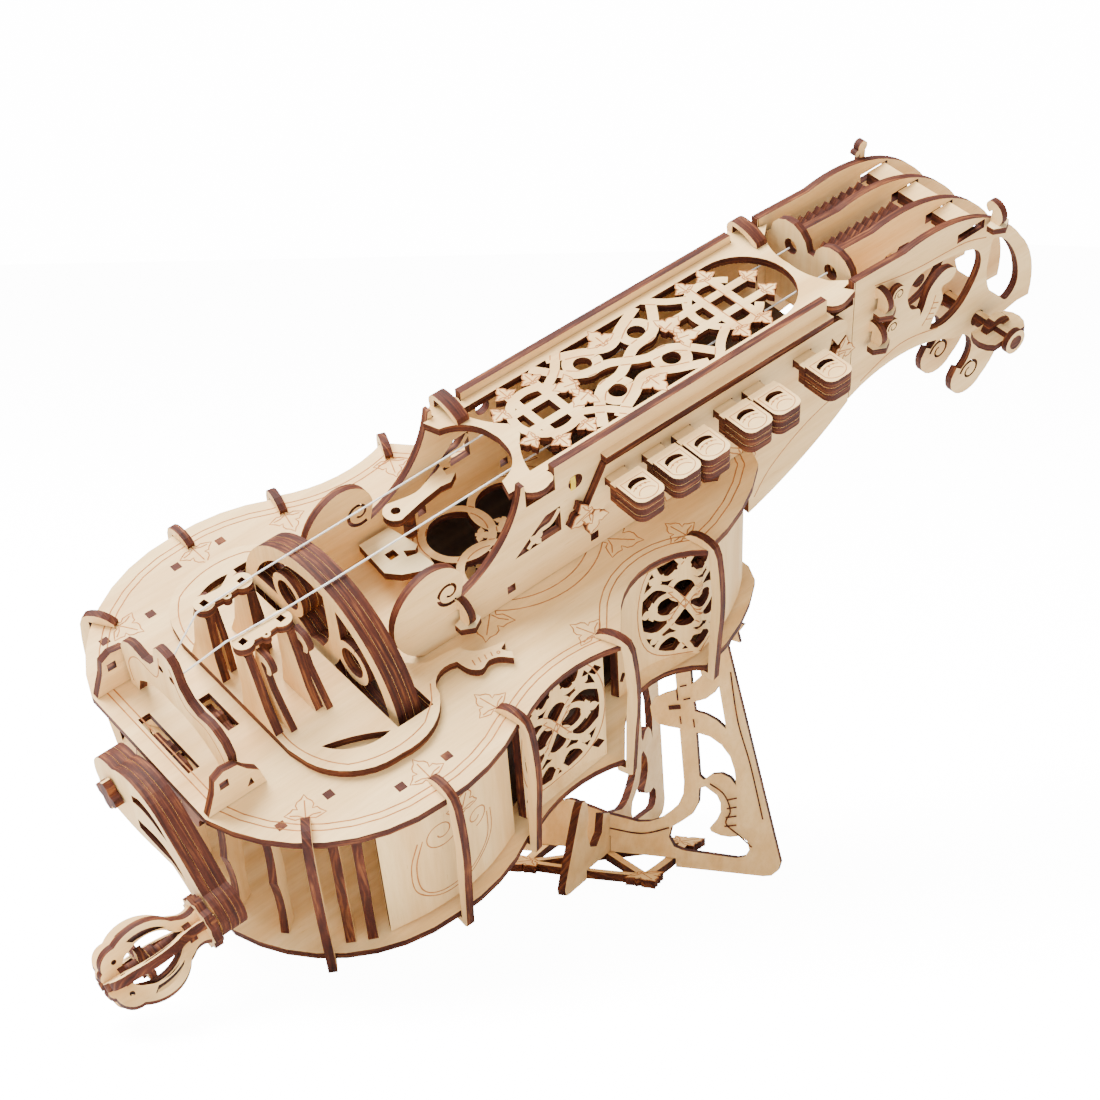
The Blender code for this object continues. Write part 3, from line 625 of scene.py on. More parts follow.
def dress_cad():
    for name, obj in frame["nodes"].items():
        if name.startswith("string_l") and name != "string_lifter" or name == "string_right":
            obj.data.materials.clear()
            obj.data.materials.append(NYLON)
        elif "panel" in name:
            dress_panel(name)
        else:
            dress_node(name, WARM if name == "string_lifter" else None)


def deck_outline():
    """The soundboard's own outline, read from its top face."""
    mesh = frame["nodes"]["soundboard"].data
    up = (INSTR.to_3x3() @ Vector((0, 0, 1))).normalized()
    links, key, place = {}, {}, {}
    for v in mesh.vertices:
        p = TO_INSTR @ v.co
        key[v.index] = (round(p.x, 2), round(p.y, 2))
        place[key[v.index]] = (p.x, p.y)
    count = {}
    for poly in mesh.polygons:
        if poly.normal.dot(up) > 0.9:
            ids = [key[i] for i in poly.vertices]
            for a, b in zip(ids, ids[1:] + ids[:1]):
                edge = frozenset((a, b))
                count[edge] = count.get(edge, 0) + 1
    for edge, uses in count.items():
        if uses == 1 and len(edge) == 2:
            a, b = edge
            links.setdefault(a, []).append(b)
            links.setdefault(b, []).append(a)
    start = min(links, key=lambda k: k[0])
    run, last = [start], None
    while True:
        nexts = [n for n in links[run[-1]] if n != last]
        last = run[-1]
        if not nexts or nexts[0] == start and len(run) > 2:
            break
        run.append(nexts[0])
    return [place[k] for k in run]


def resampled(run, step, loop=True):
    """The run with even steps along it."""
    points = np.array(closed(run) if loop else run)
    lengths = np.r_[0, np.cumsum(np.linalg.norm(np.diff(points, axis=0), axis=1))]
    at = np.linspace(0, lengths[-1], int(lengths[-1] / step) + 1)
    return list(zip(np.interp(at, lengths, points[:, 0]), np.interp(at, lengths, points[:, 1])))


def inset(run, distance):
    """The closed run moved towards the middle."""
    n = len(run)
    area = sum(run[i][0] * run[(i + 1) % n][1] - run[(i + 1) % n][0] * run[i][1] for i in range(n))
    sign = math.copysign(1, area)
    out = []
    for i in range(n):
        d = (Vector(run[(i + 2) % n]) - Vector(run[i - 2])).normalized()
        out.append((run[i][0] - sign * d.y * distance, run[i][1] + sign * d.x * distance))
    return out


OUTLINE = resampled(deck_outline(), 2.0)[:-1]


def side_run(x0, x1, sign, distance):
    """Stretch of the body's edge between two x on one side, moved in by a distance."""
    run = [p for p in inset(OUTLINE, distance) if x0 <= p[0] <= x1 and p[1] * sign > 5]
    return resampled(sorted(run), 1.5, loop=False)


def bent(path, z):
    """Puts a sheet's (s, v, w) on an upright wall that follows a path; w points out."""
    points = np.array(path)
    lengths = np.r_[0, np.cumsum(np.linalg.norm(np.diff(points, axis=0), axis=1))]
    outward = math.copysign(1, points[:, 1].mean())

    def put(s, v, w):
        x, y = np.interp(s, lengths, points[:, 0]), np.interp(s, lengths, points[:, 1])
        ahead = np.interp(s + 1, lengths, points[:, 0]), np.interp(s + 1, lengths, points[:, 1])
        behind = np.interp(s - 1, lengths, points[:, 0]), np.interp(s - 1, lengths, points[:, 1])
        d = Vector((ahead[0] - behind[0], ahead[1] - behind[1])).normalized()
        return (x - outward * d.y * w, y + outward * d.x * w, z + v)
    return put, lengths[-1]


SIDE_MID = (DECK_LOW + BACK_TOP) / 2
SIDE_HALF = (DECK_LOW - BACK_TOP) / 2 - 0.3
WINDOWED = (("waist_grille_", -34.5, 5.5), ("upper_bout_panel_", 22.0, 97.0))
SIDES = (("left", 1), ("right", -1))


STRAP = 2.6                                # width of the straps in the sides' windows


def window_fret(middle):
    """Straps and leaves that fill a side's window."""
    rings = ((0, 8), (0, -7), (6.5, 0.5), (-6.5, 0.5))
    straps = [ring_band(middle + dx, dy, 5.6, STRAP) for dx, dy in rings]
    for sx in (1, -1):
        for sy in (1, -1):
            straps += [band(smooth([(middle + sx * 18.5, 1 + sy * 8), (middle + sx * 12, sy * 12),
                                    (middle + sx * 6, sy * 9), (middle, 0.5)]), STRAP),
                       band(smooth([(middle + sx * 12.5, 1 + sy * 24), (middle + sx * 10, sy * 17),
                                    (middle + sx * 4, sy * 15), (middle - sx * 3, sy * 24)]), 2.4)]
    stems = ((0, 13, 90, 10), (0, -12, -90, 10), (10.5, 0.5, 0, 8), (-10.5, 0.5, 180, 8), (9, 13, 40, 7),
             (-9, -12, 220, 7), (-9, 13, 140, 7), (9, -12, -40, 7))
    return straps, [fleur(middle + dx, dy, turn, size) for dx, dy, turn, size in stems]


def grilles():
    """Bent sides with a pierced window of interlaced straps."""
    for side, sign in SIDES:
        for label, x0, x1 in WINDOWED:
            put, length = bent(side_run(x0, x1, sign, 6.0), SIDE_MID)
            middle = length * (0.5 if label.startswith("waist") else 0.27)
            wide = 18.0 if label.startswith("waist") else 17.5
            tall = 24.6
            window = [(middle + wide * math.copysign(abs(math.cos(t)) ** 0.72, math.cos(t)),
                       1 + tall * math.sin(t))
                      for t in (math.tau * i / 40 for i in range(40))]
            straps, leaves = window_fret(middle)
            holes = [moved(rect(-1.8, -1.8, 1.8, 1.8), s, v,
                           45) for s in (3.2, length - 3.2) for v in (-20, 18)]
            name = label + side
            obj = sheet(name + "_fret", [rect(0, -SIDE_HALF, length, SIDE_HALF)], put, [window, *holes],
                        [*straps, *leaves], face=FACE["Z"], grid=3.0)
            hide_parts(name)
            frame_line = [(middle + (x - middle) * 1.12, y * 1.09) for x, y in window]
            engrave(name + "_lines", [closed(frame_line), *crossings(straps)],
                    lambda s, v, w, p=put: p(s, v, w + PLY / 2))


def lower_bouts():
    """Engraved lower side panel, with two wavy uprights in the gap before it."""
    for side, sign in SIDES:
        put, length = bent(side_run(-112, -41, sign, 6.0), SIDE_MID)
        start = 19.0
        obj = sheet("lower_bout_%s_sheet" % side, [rect(start, -SIDE_HALF, length, SIDE_HALF)], put,
                    face=FACE["Z"], grid=3.0)
        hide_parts("lower_bout_panel_" + side)
        middle = start + (length - start) * 0.42
        runs = [spiral(middle - 2, 10, 1.5, 7.0, 200, 1.3), spiral(middle + 12, 5, 1.2, 5.0, -20, -1.2),
                closed(fleur(middle + 6, 12, 70, 11)), *fleur_veins(middle + 6, 12, 70, 11)]
        runs += [smooth([(middle - 9 - k, 11), (middle - 12 - k, 0), (middle - 11 - k, -13),
                         (middle - 4, -19 - k), (middle + 8, -18 - k), (middle + 16 + k, -10),
                         (middle + 17 + k, 2)]) for k in (0, 1.8)]
        engrave("lower_bout_scroll_" + side, [resampled(r, 1.0, False) for r in runs],
                lambda s, v, w, p=put: p(s, v, w + PLY / 2))
        edge = smooth([(6, -SIDE_HALF), (4.4, -14), (6.4, -2), (4, 10), (6.6, SIDE_HALF)])
        wavy = joined([(-1, -SIDE_HALF)], edge, [(-1, SIDE_HALF)],
                      smooth([(0, 14), (-1.6, 4), (0.2, -8), (-1, -20)]))
        for i, s in enumerate((6.0, 13.0)):
            sheet("lower_bout_upright_%s_%d" % (side, i), [wavy],
                  lambda u, v, w, p=put, s=s: p(s + w, v, u - 3.5), face=FACE["Z"])


# ---------------------------------------------------------------- soundboard

RIB_FEET = ((-115.0, 61.5, 122.0), (-72.0, 76.0, 91.0), (-37.0, 67.8, 78.0), (8.0, 64.5, 68.0),
            (58.0, 52.0, 80.0))
HOLE_X, HOLE_R = 10.0, 29.0


def soundboard_lines():
    """Contour lines, leaves at the ribs and round the sound hole, and mortises at the tail."""
    put = level(DECK_TOP)
    runs = [closed(inset(OUTLINE, d)) for d in (4.6, 7.0)]
    for x, y, turn in RIB_FEET:
        for sign in (1, -1):
            a = math.radians(turn)
            foot = (x - 8.5 * math.cos(a), sign * (y - 8.5 * math.sin(a)))
            runs += [closed(fleur(*foot, sign * (turn + 180), 10.5)),
                     *fleur_veins(*foot, sign * (turn + 180), 10.5)]
    ring = [circle(HOLE_X, 0, r, 60) for r in (HOLE_R + 1.2, HOLE_R + 5.6)]
    runs += [closed(r) for r in ring]
    for turn in (45, 135, 225, 315):
        a = math.radians(turn)
        tip = (HOLE_X + 34.5 * math.cos(a), 34.5 * math.sin(a))
        runs += [closed(fleur(*tip, turn, 14)), *fleur_veins(*tip, turn, 14)]
    engrave("soundboard_lines", runs, put)
    darks = []
    for x, y, turn in RIB_FEET[:2]:
        for side in (-9, 9):
            a = math.radians(turn)
            for sign in (1, -1):
                darks.append([(x - 13 * math.cos(a) + side - 1.6, sign * (y - 13 * math.sin(a))),
                              (x - 13 * math.cos(a) + side + 1.6, sign * (y - 13 * math.sin(a)))])
    engrave("soundboard_mortises", darks, put, width=3.0, mat=EDGE)


def rosette():
    """Interlaced straps across the sound hole."""
    put = level((DECK_TOP + DECK_LOW) / 2)
    straps = [ring_band(HOLE_X, 0, HOLE_R - 1.6, 3.4)]
    for turn in (0, 90, 180, 270):
        a = math.radians(turn)
        x, y = HOLE_X + 15.2 * math.cos(a + math.pi / 4), 15.2 * math.sin(a + math.pi / 4)
        straps.append(ring_band(x, y, 12.2, 2.9, turn + 45))
    leaves = [fleur(HOLE_X + 9 * math.cos(math.radians(t)), 9 * math.sin(math.radians(t)), t + 180, 6)
              for t in (45, 135, 225, 315)]
    sheet("rosette_straps", straps, put, over=leaves)
    engrave("rosette_lines", crossings(straps), level(DECK_TOP))


def inside_sheets():
    """Dark sheets inside the body, under the sound hole and behind the windows: painted shade for the shadow
    in there.
    """
    # painted shade: these dark sheets paint the shadow inside the body
    floor = [p for p in inset(OUTLINE, 11.0) if -46 < p[0] < 88]
    floor = sorted((p for p in floor if p[1] > 0)) + sorted((p for p in floor if p[1] <= 0), reverse=True)
    sheet("painted_shade_floor", [floor], level(BACK_TOP + 1.2), thick=1.2,
          face=PAINTED_SHADE)
    wall = rect(-45, BACK_TOP + 2, 70, DECK_LOW - 0.4)
    sheet("painted_shade_wall_far", [wall], upright(34), thick=2.0, face=PAINTED_SHADE)
    for label, x, half in (("rear", -46.5, 52), ("front", 76.0, 34)):
        sheet("painted_shade_wall_" + label, [rect(-half, BACK_TOP + 2, half, DECK_LOW - 0.4)],
              crosswise(x), thick=2.0, face=PAINTED_SHADE)


def surround_sheet():
    """Plate round the wheel, its two arms ending in small beast heads."""
    low, high = ibox("wheel_surround")
    x0, x1, y = -68.5, -54.5, 46.0
    side = joined([(low.x, 0)], [(low.x, 30)], arc((low.x + 1.5, 38), (-90, 50), (-76, high.y), 8),
                  arc((-74, high.y), (-60, 53), (-50.5, 44), 8),
                  arc((-49.5, 41), (-44.5, 36.5), (-38, 37), 6),
                  smooth([(-38, 37.2), (-37, 42), (-34, 44.8), (-30, 43.4), (-26.5, 44.6), (-23.4, 48)], 4),
                  smooth([(-22, 45.4), (-24, 42.4), (-21, 40.6), (-25.6, 39.4), (-29.6, 38), (-32, 36),
                          (-33.4, 33.4)], 4),
                  smooth([(-33, 32.6), (-38, 31.5), (-41, 31.2)], 4),
                  arc((-41, 31.2), (-47.5, 29.4), (-51.5, 24), 6),
                  [(-51.5, 0)])
    leaf_slot = joined(arc((-91, 36), (-83, 44), (-71, 45.4)), arc((-71, 45.4), (-80, 40), (-91, 36)))
    holes = [rect(x0, -y, x1, y), leaf_slot, flipped(leaf_slot)]
    obj = sheet("wheel_surround_cut", [joined(side, flipped(side))],
                level((low.z + high.z) / 2), holes)
    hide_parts("wheel_surround")


def gear_post():
    """Fixed post under the rosette gear, and the next gear of the train beside it."""
    x, y, _ = imiddle("rosette_gear")
    gear_top = ibox("rosette_gear")[1].z
    low, high = BACK_TOP, gear_top + 4
    sheet("inner_gear", [moved(gear_ring(10.4, 1.8, 14), x - 15, y + 5)], level(gear_top - 6),
          [circle(x - 15 + 6 * math.cos(t), y + 5 + 6 * math.sin(t), 2.0, 16) for t in (0.4, 2.5, 4.6)])
    sheet("gear_post", [circle(x, y, 2.0, 24)], level((low + high) / 2), thick=high - low)


def surround_lines():
    """Burnt contour on the raised plate and the eye and fins of its two beasts."""
    put = level(SURROUND_TOP)
    runs = []
    for sign in (1, -1):
        half = joined(arc((-96.5, 20), (-95.4, 37), (-89, 47.4)), arc((-89, 47.4), (-76, 51.8), (-61, 50)),
                      [(-54, 44.5), (-50, 38.5)])
        runs.append([(x, sign * y) for x, y in half])
        runs += [[(-34 + 2.2 * k, sign * (39.8 + 0.4 * k)),
                  (-34.6 + 2.2 * k, sign * (42.2 + 0.2 * k))] for k in range(4)]
        runs.append(closed(circle(-25.6, sign * 42.8, 0.5, 8)))
    engrave("surround_lines", runs, put)


# ---------------------------------------------------------------- keybox

KNOT_X = 68.0                              # middle of the lid's knot
KNOT, CROSS = 3.8, 3.2                     # widths of the knot's straps and of the lattices'


def lid_outline():
    """Edge of the lid, with an ear at each corner, and the window that its knotwork fills."""
    half = LID_HIGH.y
    near = joined([(12.5, 0)], arc((12.0, -4), (8, -12.5), (0.5, -16.5)), [(-1.5, -half)], [(3, -half)],
                  arc((3, -half - 3.4), (6, -half - 5.6), (11, -half - 5.2), 5),
                  arc((11, -half - 5.2), (14, -half - 3.6), (14, -half), 4))
    far = joined([(137, -half)], arc((137, -half - 3), (139, -half - 5), (143, -half - 5.6), 4),
                 [(150, -half - 3.6)], [(147.5, -half)], [(153, -half + 1)], [(147, -half + 6)],
                 arc((146, -14), (143.6, -7), (143.4, 0)))
    rail = half - 3.4
    window = joined([(10, -rail)], [(121, -rail)], arc((121, -rail), (140.4, 0), (121, rail), 18),
                    [(13, rail)],
                    arc((10, rail), (13, 11), (19, 3), 6), arc((19, -3), (13, -11), (10, -rail), 6))
    return joined(near, far, flipped(joined(near, far))), window


def lid_straps():
    """A knot with four loops in the middle, and a ring with a crossed lattice at each end."""
    x = KNOT_X
    straps = [ring_band(x + dx, dy, 5.2, KNOT) for dx, dy in ((-12, 9), (12, 9), (-12, -9), (12, -9))]
    for sy in (1, -1):
        straps += [band(smooth([(x - 27, -sy * 19), (x - 17, -sy * 6), (x - 6, -sy * 3.4), (x, 0),
                                (x + 6, sy * 3.4), (x + 17, sy * 6), (x + 27, sy * 19)]), KNOT),
                   band(smooth([(x - 20, sy * 19), (x - 10, sy * 14.5), (x, sy * 9.5),
                                (x + 10, sy * 14.5), (x + 20, sy * 19)]), KNOT)]
    straps += [ring_band(112, 0, 12.5, 3.3, 40, 280), ring_band(32, 0, 11.5, 3.3, 25, 310)]
    for y in (-4.8, 4.8):
        straps += [band([(90, y), (127, y)], CROSS), band([(20, y), (48, y)], CROSS)]
    for x in (107.0, 117.0, 27.0, 38.0):
        straps.append(band([(x, -13.5), (x, 13.5)], CROSS))
    for sy in (1, -1):
        straps += [band(smooth([(104, sy * 10), (98, sy * 14), (92, sy * 20)]), 3.3),
                   band(smooth([(41, sy * 9), (47, sy * 13), (53, sy * 20)]), 3.3)]
    return straps


def lid_stems():
    """Place and direction of the leaf at each strap's end."""
    ends = [(126, -4.8, 0), (126, 4.8, 0), (107, 12.5, 90), (107, -12.5, -90), (117, 12.5, 90),
            (117, -12.5, -90),
            (27, 12.5, 90), (27, -12.5, -90), (38, -12.5, -90), (38, 12.5, 90), (22, 9, 200), (22, -9, 160)]
    ends += [(KNOT_X + sx * 19, sy * 3, 90 - sx * 90 + sy * sx * 15) for sx in (1, -1) for sy in (1, -1)]
    return ends + [(KNOT_X, sy * 11, 90 * sy) for sy in (1, -1)]


def lid_fret():
    """Lid cut as interlaced straps with leaf ends, over a dark sheet in the keybox that paints its shade."""
    outline, window = lid_outline()
    straps, stems = lid_straps(), lid_stems()
    leaves = [fleur(*stem, 9.5 if abs(stem[0] - KNOT_X) < 25 else 6.8) for stem in stems]
    obj = sheet("lid_fret", [outline], level((LID_LOW.z + LID_HIGH.z) / 2), [window], [*straps, *leaves],
                thick=LID_HIGH.z - LID_LOW.z, body="lid")
    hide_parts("lid")
    # painted shade: a dark sheet under the lid for the shadow inside the keybox
    sheet("keybox_painted_shade", [rect(40, -22, 148, 22)], level(-30), thick=1.2, face=PAINTED_SHADE)
    lines = crossings(straps) + [closed(leaf) for leaf in leaves]
    lines += [vein for stem in stems for vein in fleur_veins(*stem, 6.8)]
    engrave("lid_lines", lines, level(LID_HIGH.z), body="lid")


def wall_shape():
    """Keybox wall: scroll at the wheel end, notches for the lid's ears, curve under the neck."""
    top, base, neck = WALL_RIGHT[1].z, WALL_RIGHT[0].z, WALL_RIGHT[1].x
    foot = DECK_TOP + 0.3
    scroll = joined(arc((1, top), (-8.5, -17), (-26.5, -28.4), 14), [(-24.8, -22)],
                    arc((-24.6, -21), (-30, -11.5), (-38, -9.4), 10),
                    arc((-38, -9.4), (-50.5, -18), (-42.5, foot), 16))
    under = joined([(101.4, foot)], [(101.4, base)], arc((101.4, base), (122, -68.6), (neck, -52), 14),
                   [(neck, top)])
    notch = -6.6
    ears = joined([(149.6, top)], [(149.6, notch)], [(136.4, notch)], [(136.4, top)], [(14.6, top)],
                  [(14.6, notch)], [(2.4, notch)], [(2.4, top)])
    return joined(scroll, under, ears)


def spiral_slit(x, z, r, start, turns):
    """Narrowing slit that winds in to a centre."""
    return band(spiral(x, z, r, r * 0.3, start, turns), r * 0.26, r * 0.14)


def spiral_cut():
    """Curl cut in from the wall's lower edge, beside the scroll."""
    return band(spiral(-30.6, -22.5, 5.4, 1.4, -60, -1.2), 1.5, 0.8)


KEYS = ["key_%d" % i for i in range(1, 7)]
BAND_HOLES = ((23.0, -8.5, 3.0), (139.0, -9.0, 2.8))     # x, z and radius, where the rubber bands show


def key_slots():
    """Openings that the keys' stems slide in."""
    return [rect(x - 4.4, z - 1.9, x + 4.4, z + 1.9) for x, _, z in (imiddle(key) for key in KEYS)]


def keybox_walls():
    """Pierced walls with key slots in the near one, and engraving near the neck."""
    window = [(16.1, -15), (16.2, -26), (-3.5, -26.4), (9.9, -15.4)]
    leaf = [band(smooth([(2, -25.5), (7, -21), (12, -20), (15.8, -16)]), 1.8), fleur(4, -24.5, 40, 6)]
    mortises = [rect(x - 1.7, -40.2, x + 1.7, -36.8) for x in (-6, 30, 58, 84)]
    for side, sign in SIDES:
        holes = [window, circle(*BAND_HOLES[0], 20), spiral_cut(), *mortises,
                 *([*key_slots(), circle(*BAND_HOLES[1], 20)] if sign < 0 else [])]
        name = "keybox_wall_" + side
        obj = sheet(name + "_cut", [wall_shape()], upright(-sign * WALL_Y), holes, leaf)
        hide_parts(name)
    face = upright(WALL_Y - PLY / 2)
    runs = [smooth([(104, -70), (112, -60), (128, -50), (146, -44)]), closed(fleur(96, -46, 20, 14)),
            *fleur_veins(96, -46, 20, 14), closed(fleur(60, -40, 10, 11)),
            smooth([(72, -33), (84, -27), (90, -36), (98, -42)]),
            smooth([(74, -34.5), (84, -29), (88.5, -37), (96, -43.5)])]
    engrave("wall_lines", [resampled(r, 1.2, False) for r in runs], face)


def rail_fret():
    """Long key rail with a turned-up front end and a leaf at each end."""
    outline = joined([(25, -20)], [(33.5, -5.6)], [(137, -5.6)], arc((137, -5.6), (143, -8), (143.4, -14), 5),
                     [(139.6, -17)], [(136.4, -12)], [(134, -22)], [(34, -22)], [(31.5, -24.5)])
    leaves = [fleur(27, -21, 200, 10), fleur(29, -23, 250, 10), fleur(139, -20, -20, 10),
              fleur(137, -22, -70, 10)]
    y = imiddle("key_rail")[1]
    obj = sheet("key_rail_cut", [outline], upright(y), key_slots(), leaves)
    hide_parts("key_rail")
    top = [band([(34, 0), (137, 0)], 5.8)]
    sheet("key_rail_ledge", top, flat("XY", (0, RAIL[1].y + 0.2, RAIL[1].z + 3.4)), thick=2.6)
    lines = [closed(leaf) for leaf in leaves]
    lines += [*fleur_veins(27, -21, 200, 10), *fleur_veins(139, -20, -20, 10)]
    engrave("key_rail_lines", lines, upright(RAIL[0].y))


def keys():
    """Layered D-shaped caps with a raised thumb rest and burnt dots, on stems through the rail."""
    for name in KEYS:
        low, high = ibox(name)
        x, _, z = imiddle(name)
        front, back = low.y, low.y + 12.4
        cap = joined([(x - 6, back)], [(x - 6, front + 3.6)],
                     arc((x - 6, front + 3.6), (x - 5, front + 1), (x - 2.5, front), 5),
                     arc((x + 2.5, front), (x + 5, front + 1), (x + 6, front + 3.6), 5), [(x + 6, back)])
        slit = joined(arc((x - 3.6, back - 3.2), (x, back - 1.6), (x + 3.6, back - 3.2)),
                      arc((x + 3.6, back - 4.8), (x, back - 3.8), (x - 3.6, back - 4.8)))
        obj = sheet(name + "_cap", [cap], level(z), [slit], thick=LAYER, shifts=LAYERS,
                    body=name)
        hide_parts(name)
        stem = rect(x - 4, back - 1, x + 4, high.y)
        sheet(name + "_stem", [stem], level(z), body=name)
        mark = rect(x - 6.2, back - 0.2, x + 6.2, back + 2.6)
        sheet(name + "_collar", [mark], level(z), thick=7.6, body=name)
        face = level(z + LAYERS[2] + LAYER / 2)
        runs = [closed(joined([(x - 4.8, back - 1)], [(x - 4.8, front + 3.8)],
                              arc((x - 4.8, front + 3.8), (x, front + 0.9), (x + 4.8, front + 3.8)),
                              [(x + 4.8, back - 1)])),
                arc((x - 3.6, back - 6.2), (x, back - 5.0), (x + 3.6, back - 6.2)),
                arc((x - 3.4, front + 3.4), (x, front + 5.6), (x + 3.4, front + 3.4))]
        runs += [closed(circle(x + dx, back - 5.4, 0.28, 8)) for dx in (-2, 0, 2)]
        engrave(name + "_lines", runs, face, width=0.3, body=name)


def clamps():
    """Hooks at the lid's far corners, and wedge clips, curls and scrolls on the near wall."""
    hook = joined([(1.8, -6)], [(4.4, -5)], arc((4.6, 0), (4.0, 3.6), (1.2, 5.2)),
                  arc((1.2, 5.2), (-5, 4.6), (-10.4, 2.2)),
                  [(-11, 0.4)], [(-8.6, 0.4)], arc((-7, 1.4), (-3, 2.9), (1.8, 3.3)))
    for i, x in enumerate((8.4, 143.0)):
        sheet("lid_hook_%d" % i, [moved(hook, -WALL_Y, 0)], crosswise(x), thick=5.0,
              face=FACE["Z"])
    wedge = joined([(-4.2, 0)], [(-4.2, -3)], [(0, -5.4)], [(4.2, -3)], [(4.2, 0)], [(0, 1.2)])
    curl = joined(arc((-2, 0), (-3.6, 6), (0.6, 9.4)), arc((0.6, 9.4), (4, 7), (2.4, 4.2), 6), [(1, 5.6)],
                  [(1.4, 0)])
    y = WALL_Y - PLY / 2
    for i, (x, z) in enumerate(((-27.0, -37.0), (79.0, -38.5), (162.0, -15.0), (160.0, -29.0),
                                (219.0, -7.0))):
        sheet("clip_plate_%d" % i, [moved(wedge, x, y - 2.2)], level(z), thick=2.6,
              face=WARM)
        sheet("clip_curl_%d" % i, [moved(curl, y - 2.6, z + 0.6)], crosswise(x), thick=2.8)
        if 155 < x < 170:
            scroll = [circle(x + 6.5, z + 5, 3.3, 28), band([(x, z + 1.2), (x + 6, z + 2.8)], 2.6)]
            sheet("clip_scroll_%d" % i, scroll, upright(y - 3.0),
                  [spiral_slit(x + 6.5, z + 5, 2.4, 200, -1.2)],
                  thick=2.6)


def rubber_bands():
    """The ends of the bands that show in the near wall's two holes."""
    for i, (x, _, _) in enumerate(BAND_HOLES):
        run = [(x - 1.2, -11.4), (x - 1.0, -8.5), (x - 1.2, -5.6)]
        engrave("rubber_band_%d" % i, [run], upright(WALL_Y - PLY / 2 - 0.2), width=2.0,
                mat=RUBBER)


# ---------------------------------------------------------------- drive

def wheel_sheets():
    """Rim and four curved spokes cut in three sheets, with burnt lines between them."""
    low, high = ibox("wheel")
    x, _, z = imiddle("wheel")
    r = (high.y - low.y) / 2
    ring = [circle(0, 0, r - 5.5, 64)]
    spokes = []
    for turn in (0, 90, 180, 270):
        path = smooth([(2, 0), (12, 3.5), (22, 3.5), (r - 4, -3)])
        spokes.append(moved(band(path, 7.5, 6.0), 0, 0, turn + 20))
        spokes.append(moved(ring_band(21, 13, 7.0, 2.8), 0, 0, turn + 20))
    obj = sheet("wheel_sheets", [circle(0, 0, r, 96)], flat("YZ", (x, 0, z)), ring,
                [*spokes, circle(0, 0, 9)],
                thick=LAYER, shifts=LAYERS, body="drive", face=FACE["Z"])
    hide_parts("wheel")


def crank():
    """Curved arm of three sheets, with two drop-shaped windows and a round one."""
    upper = joined(arc((11.5, -5), (9, 8), (-2, 12.3)), arc((-2, 12.3), (-15, 17), (-29, 11.5)),
                   [(-38.8, 1.5), (-45, -5.5)], arc((-47, -7.5), (-56, -16), (-49, -23.5)))
    lower = joined(arc((-44, -22), (-36, -13), (-30, -9)), arc((-20, -10.5), (-6, -12.4), (4, -12)),
                   arc((4, -12), (9.5, -10.5), (11.5, -5)))
    drops = [joined([(-12, 9)], arc((-17, 11.6), (-26, 9.4), (-31, 4)), arc((-27, 5), (-20, 7), (-12, 5.6))),
             joined([(-12, -3)], arc((-20, -1.6), (-30, -2.6), (-37, -9.4)),
                    arc((-30, -6.4), (-20, -7.4), (-12, -7.4))),
             circle(5.5, -6.5, 1.6, 16)]
    obj = sheet("crank_arm_sheets", [joined(upper, lower)],
                flat("YZ", (imiddle("crank_arm")[0], 0, CRANK_AT.z)), drops, thick=LAYER,
                shifts=LAYERS, body="drive", face=FACE["Z"])
    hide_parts("crank_arm")


def radial(x, y, z, turn):
    """Puts a half rib's (u, r, w) round the grip's axis."""
    c, s = math.cos(math.radians(turn)), math.sin(math.radians(turn))
    return lambda u, r, w: (x + u, y + r * c - w * s, z + r * s + w * c)


def grip():
    """Lantern grip: six pierced ribs between a collar and two small cross plates."""
    y, z = GRIP_AT
    x = ibox("crank_arm")[0].x - 0.3
    end = ibox("crank_handle")[0].x - x
    outer = joined([(-0.4, 1.6)], [(-0.4, 8.4)], arc((-2.4, 8.4), (-6.5, 6.0), (-10, 7.2)),
                   arc((-12, 8.2), (-21, 13.8), (-31, 11.6), 14),
                   arc((-31, 11.6), (end, 9.6), (end - 1.2, 5.6)),
                   arc((end - 1.2, 5.6), (end - 2.4, 3.6), (end - 0.4, 1.4), 6), [(end + 6, 1.6)],
                   arc((-31, 3.6), (-30, 5.6), (-27.5, 7.4)), arc((-27.5, 7.4), (-19, 8.8), (-12, 3.6)),
                   [(-8, 1.6)])
    eye = circle(end + 3.4, 7.2, 0.9, 14)
    fin_slot = joined(arc((-14, 7.4), (-20, 11.2), (-27, 11.2)), arc((-25, 9.6), (-20, 9.4), (-14, 7.4)))
    first = None
    for i in range(6):
        obj = sheet("grip_rib_%d" % i, [outer], radial(x, y, z, 60 * i + 15), [eye, fin_slot], thick=2.8,
                    body="handle", face=FACE["X"])
        first = first or obj
    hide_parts("crank_handle")
    star = [(r * math.cos(math.tau * i / 24), r * math.sin(math.tau * i / 24)) for i,
            r in enumerate((9.2, 8.0) * 12)]
    for label, place, ring, thick in (("collar", x - 2.3, star, 3.0),
                                      ("collar_ring", x - 8.4, circle(0, 0, 4.6), 2.6),
                                      ("spider", x - 21, circle(0, 0, 3.4), 2.6),
                                      ("end", x + end + 4.5, circle(0, 0, 4.6), 2.4)):
        sheet("grip_" + label, [ring], flat("YZ", (place, y, z)), thick=thick, body="handle",
              face=FACE["Z"])
    cross = [band([(-6.5, 0), (6.5, 0)], 2.4), band([(0, -6.5), (0, 6.5)], 2.4)]
    sheet("grip_cross", cross, flat("YZ", (x - 24.5, y, z)), thick=2.6, body="handle")
    sheet("grip_pin", [circle(0, 0, 2.1, 20)], flat("YZ", (x - 12, y, z)), thick=38, body="handle")


# ---------------------------------------------------------------- tail and bridges

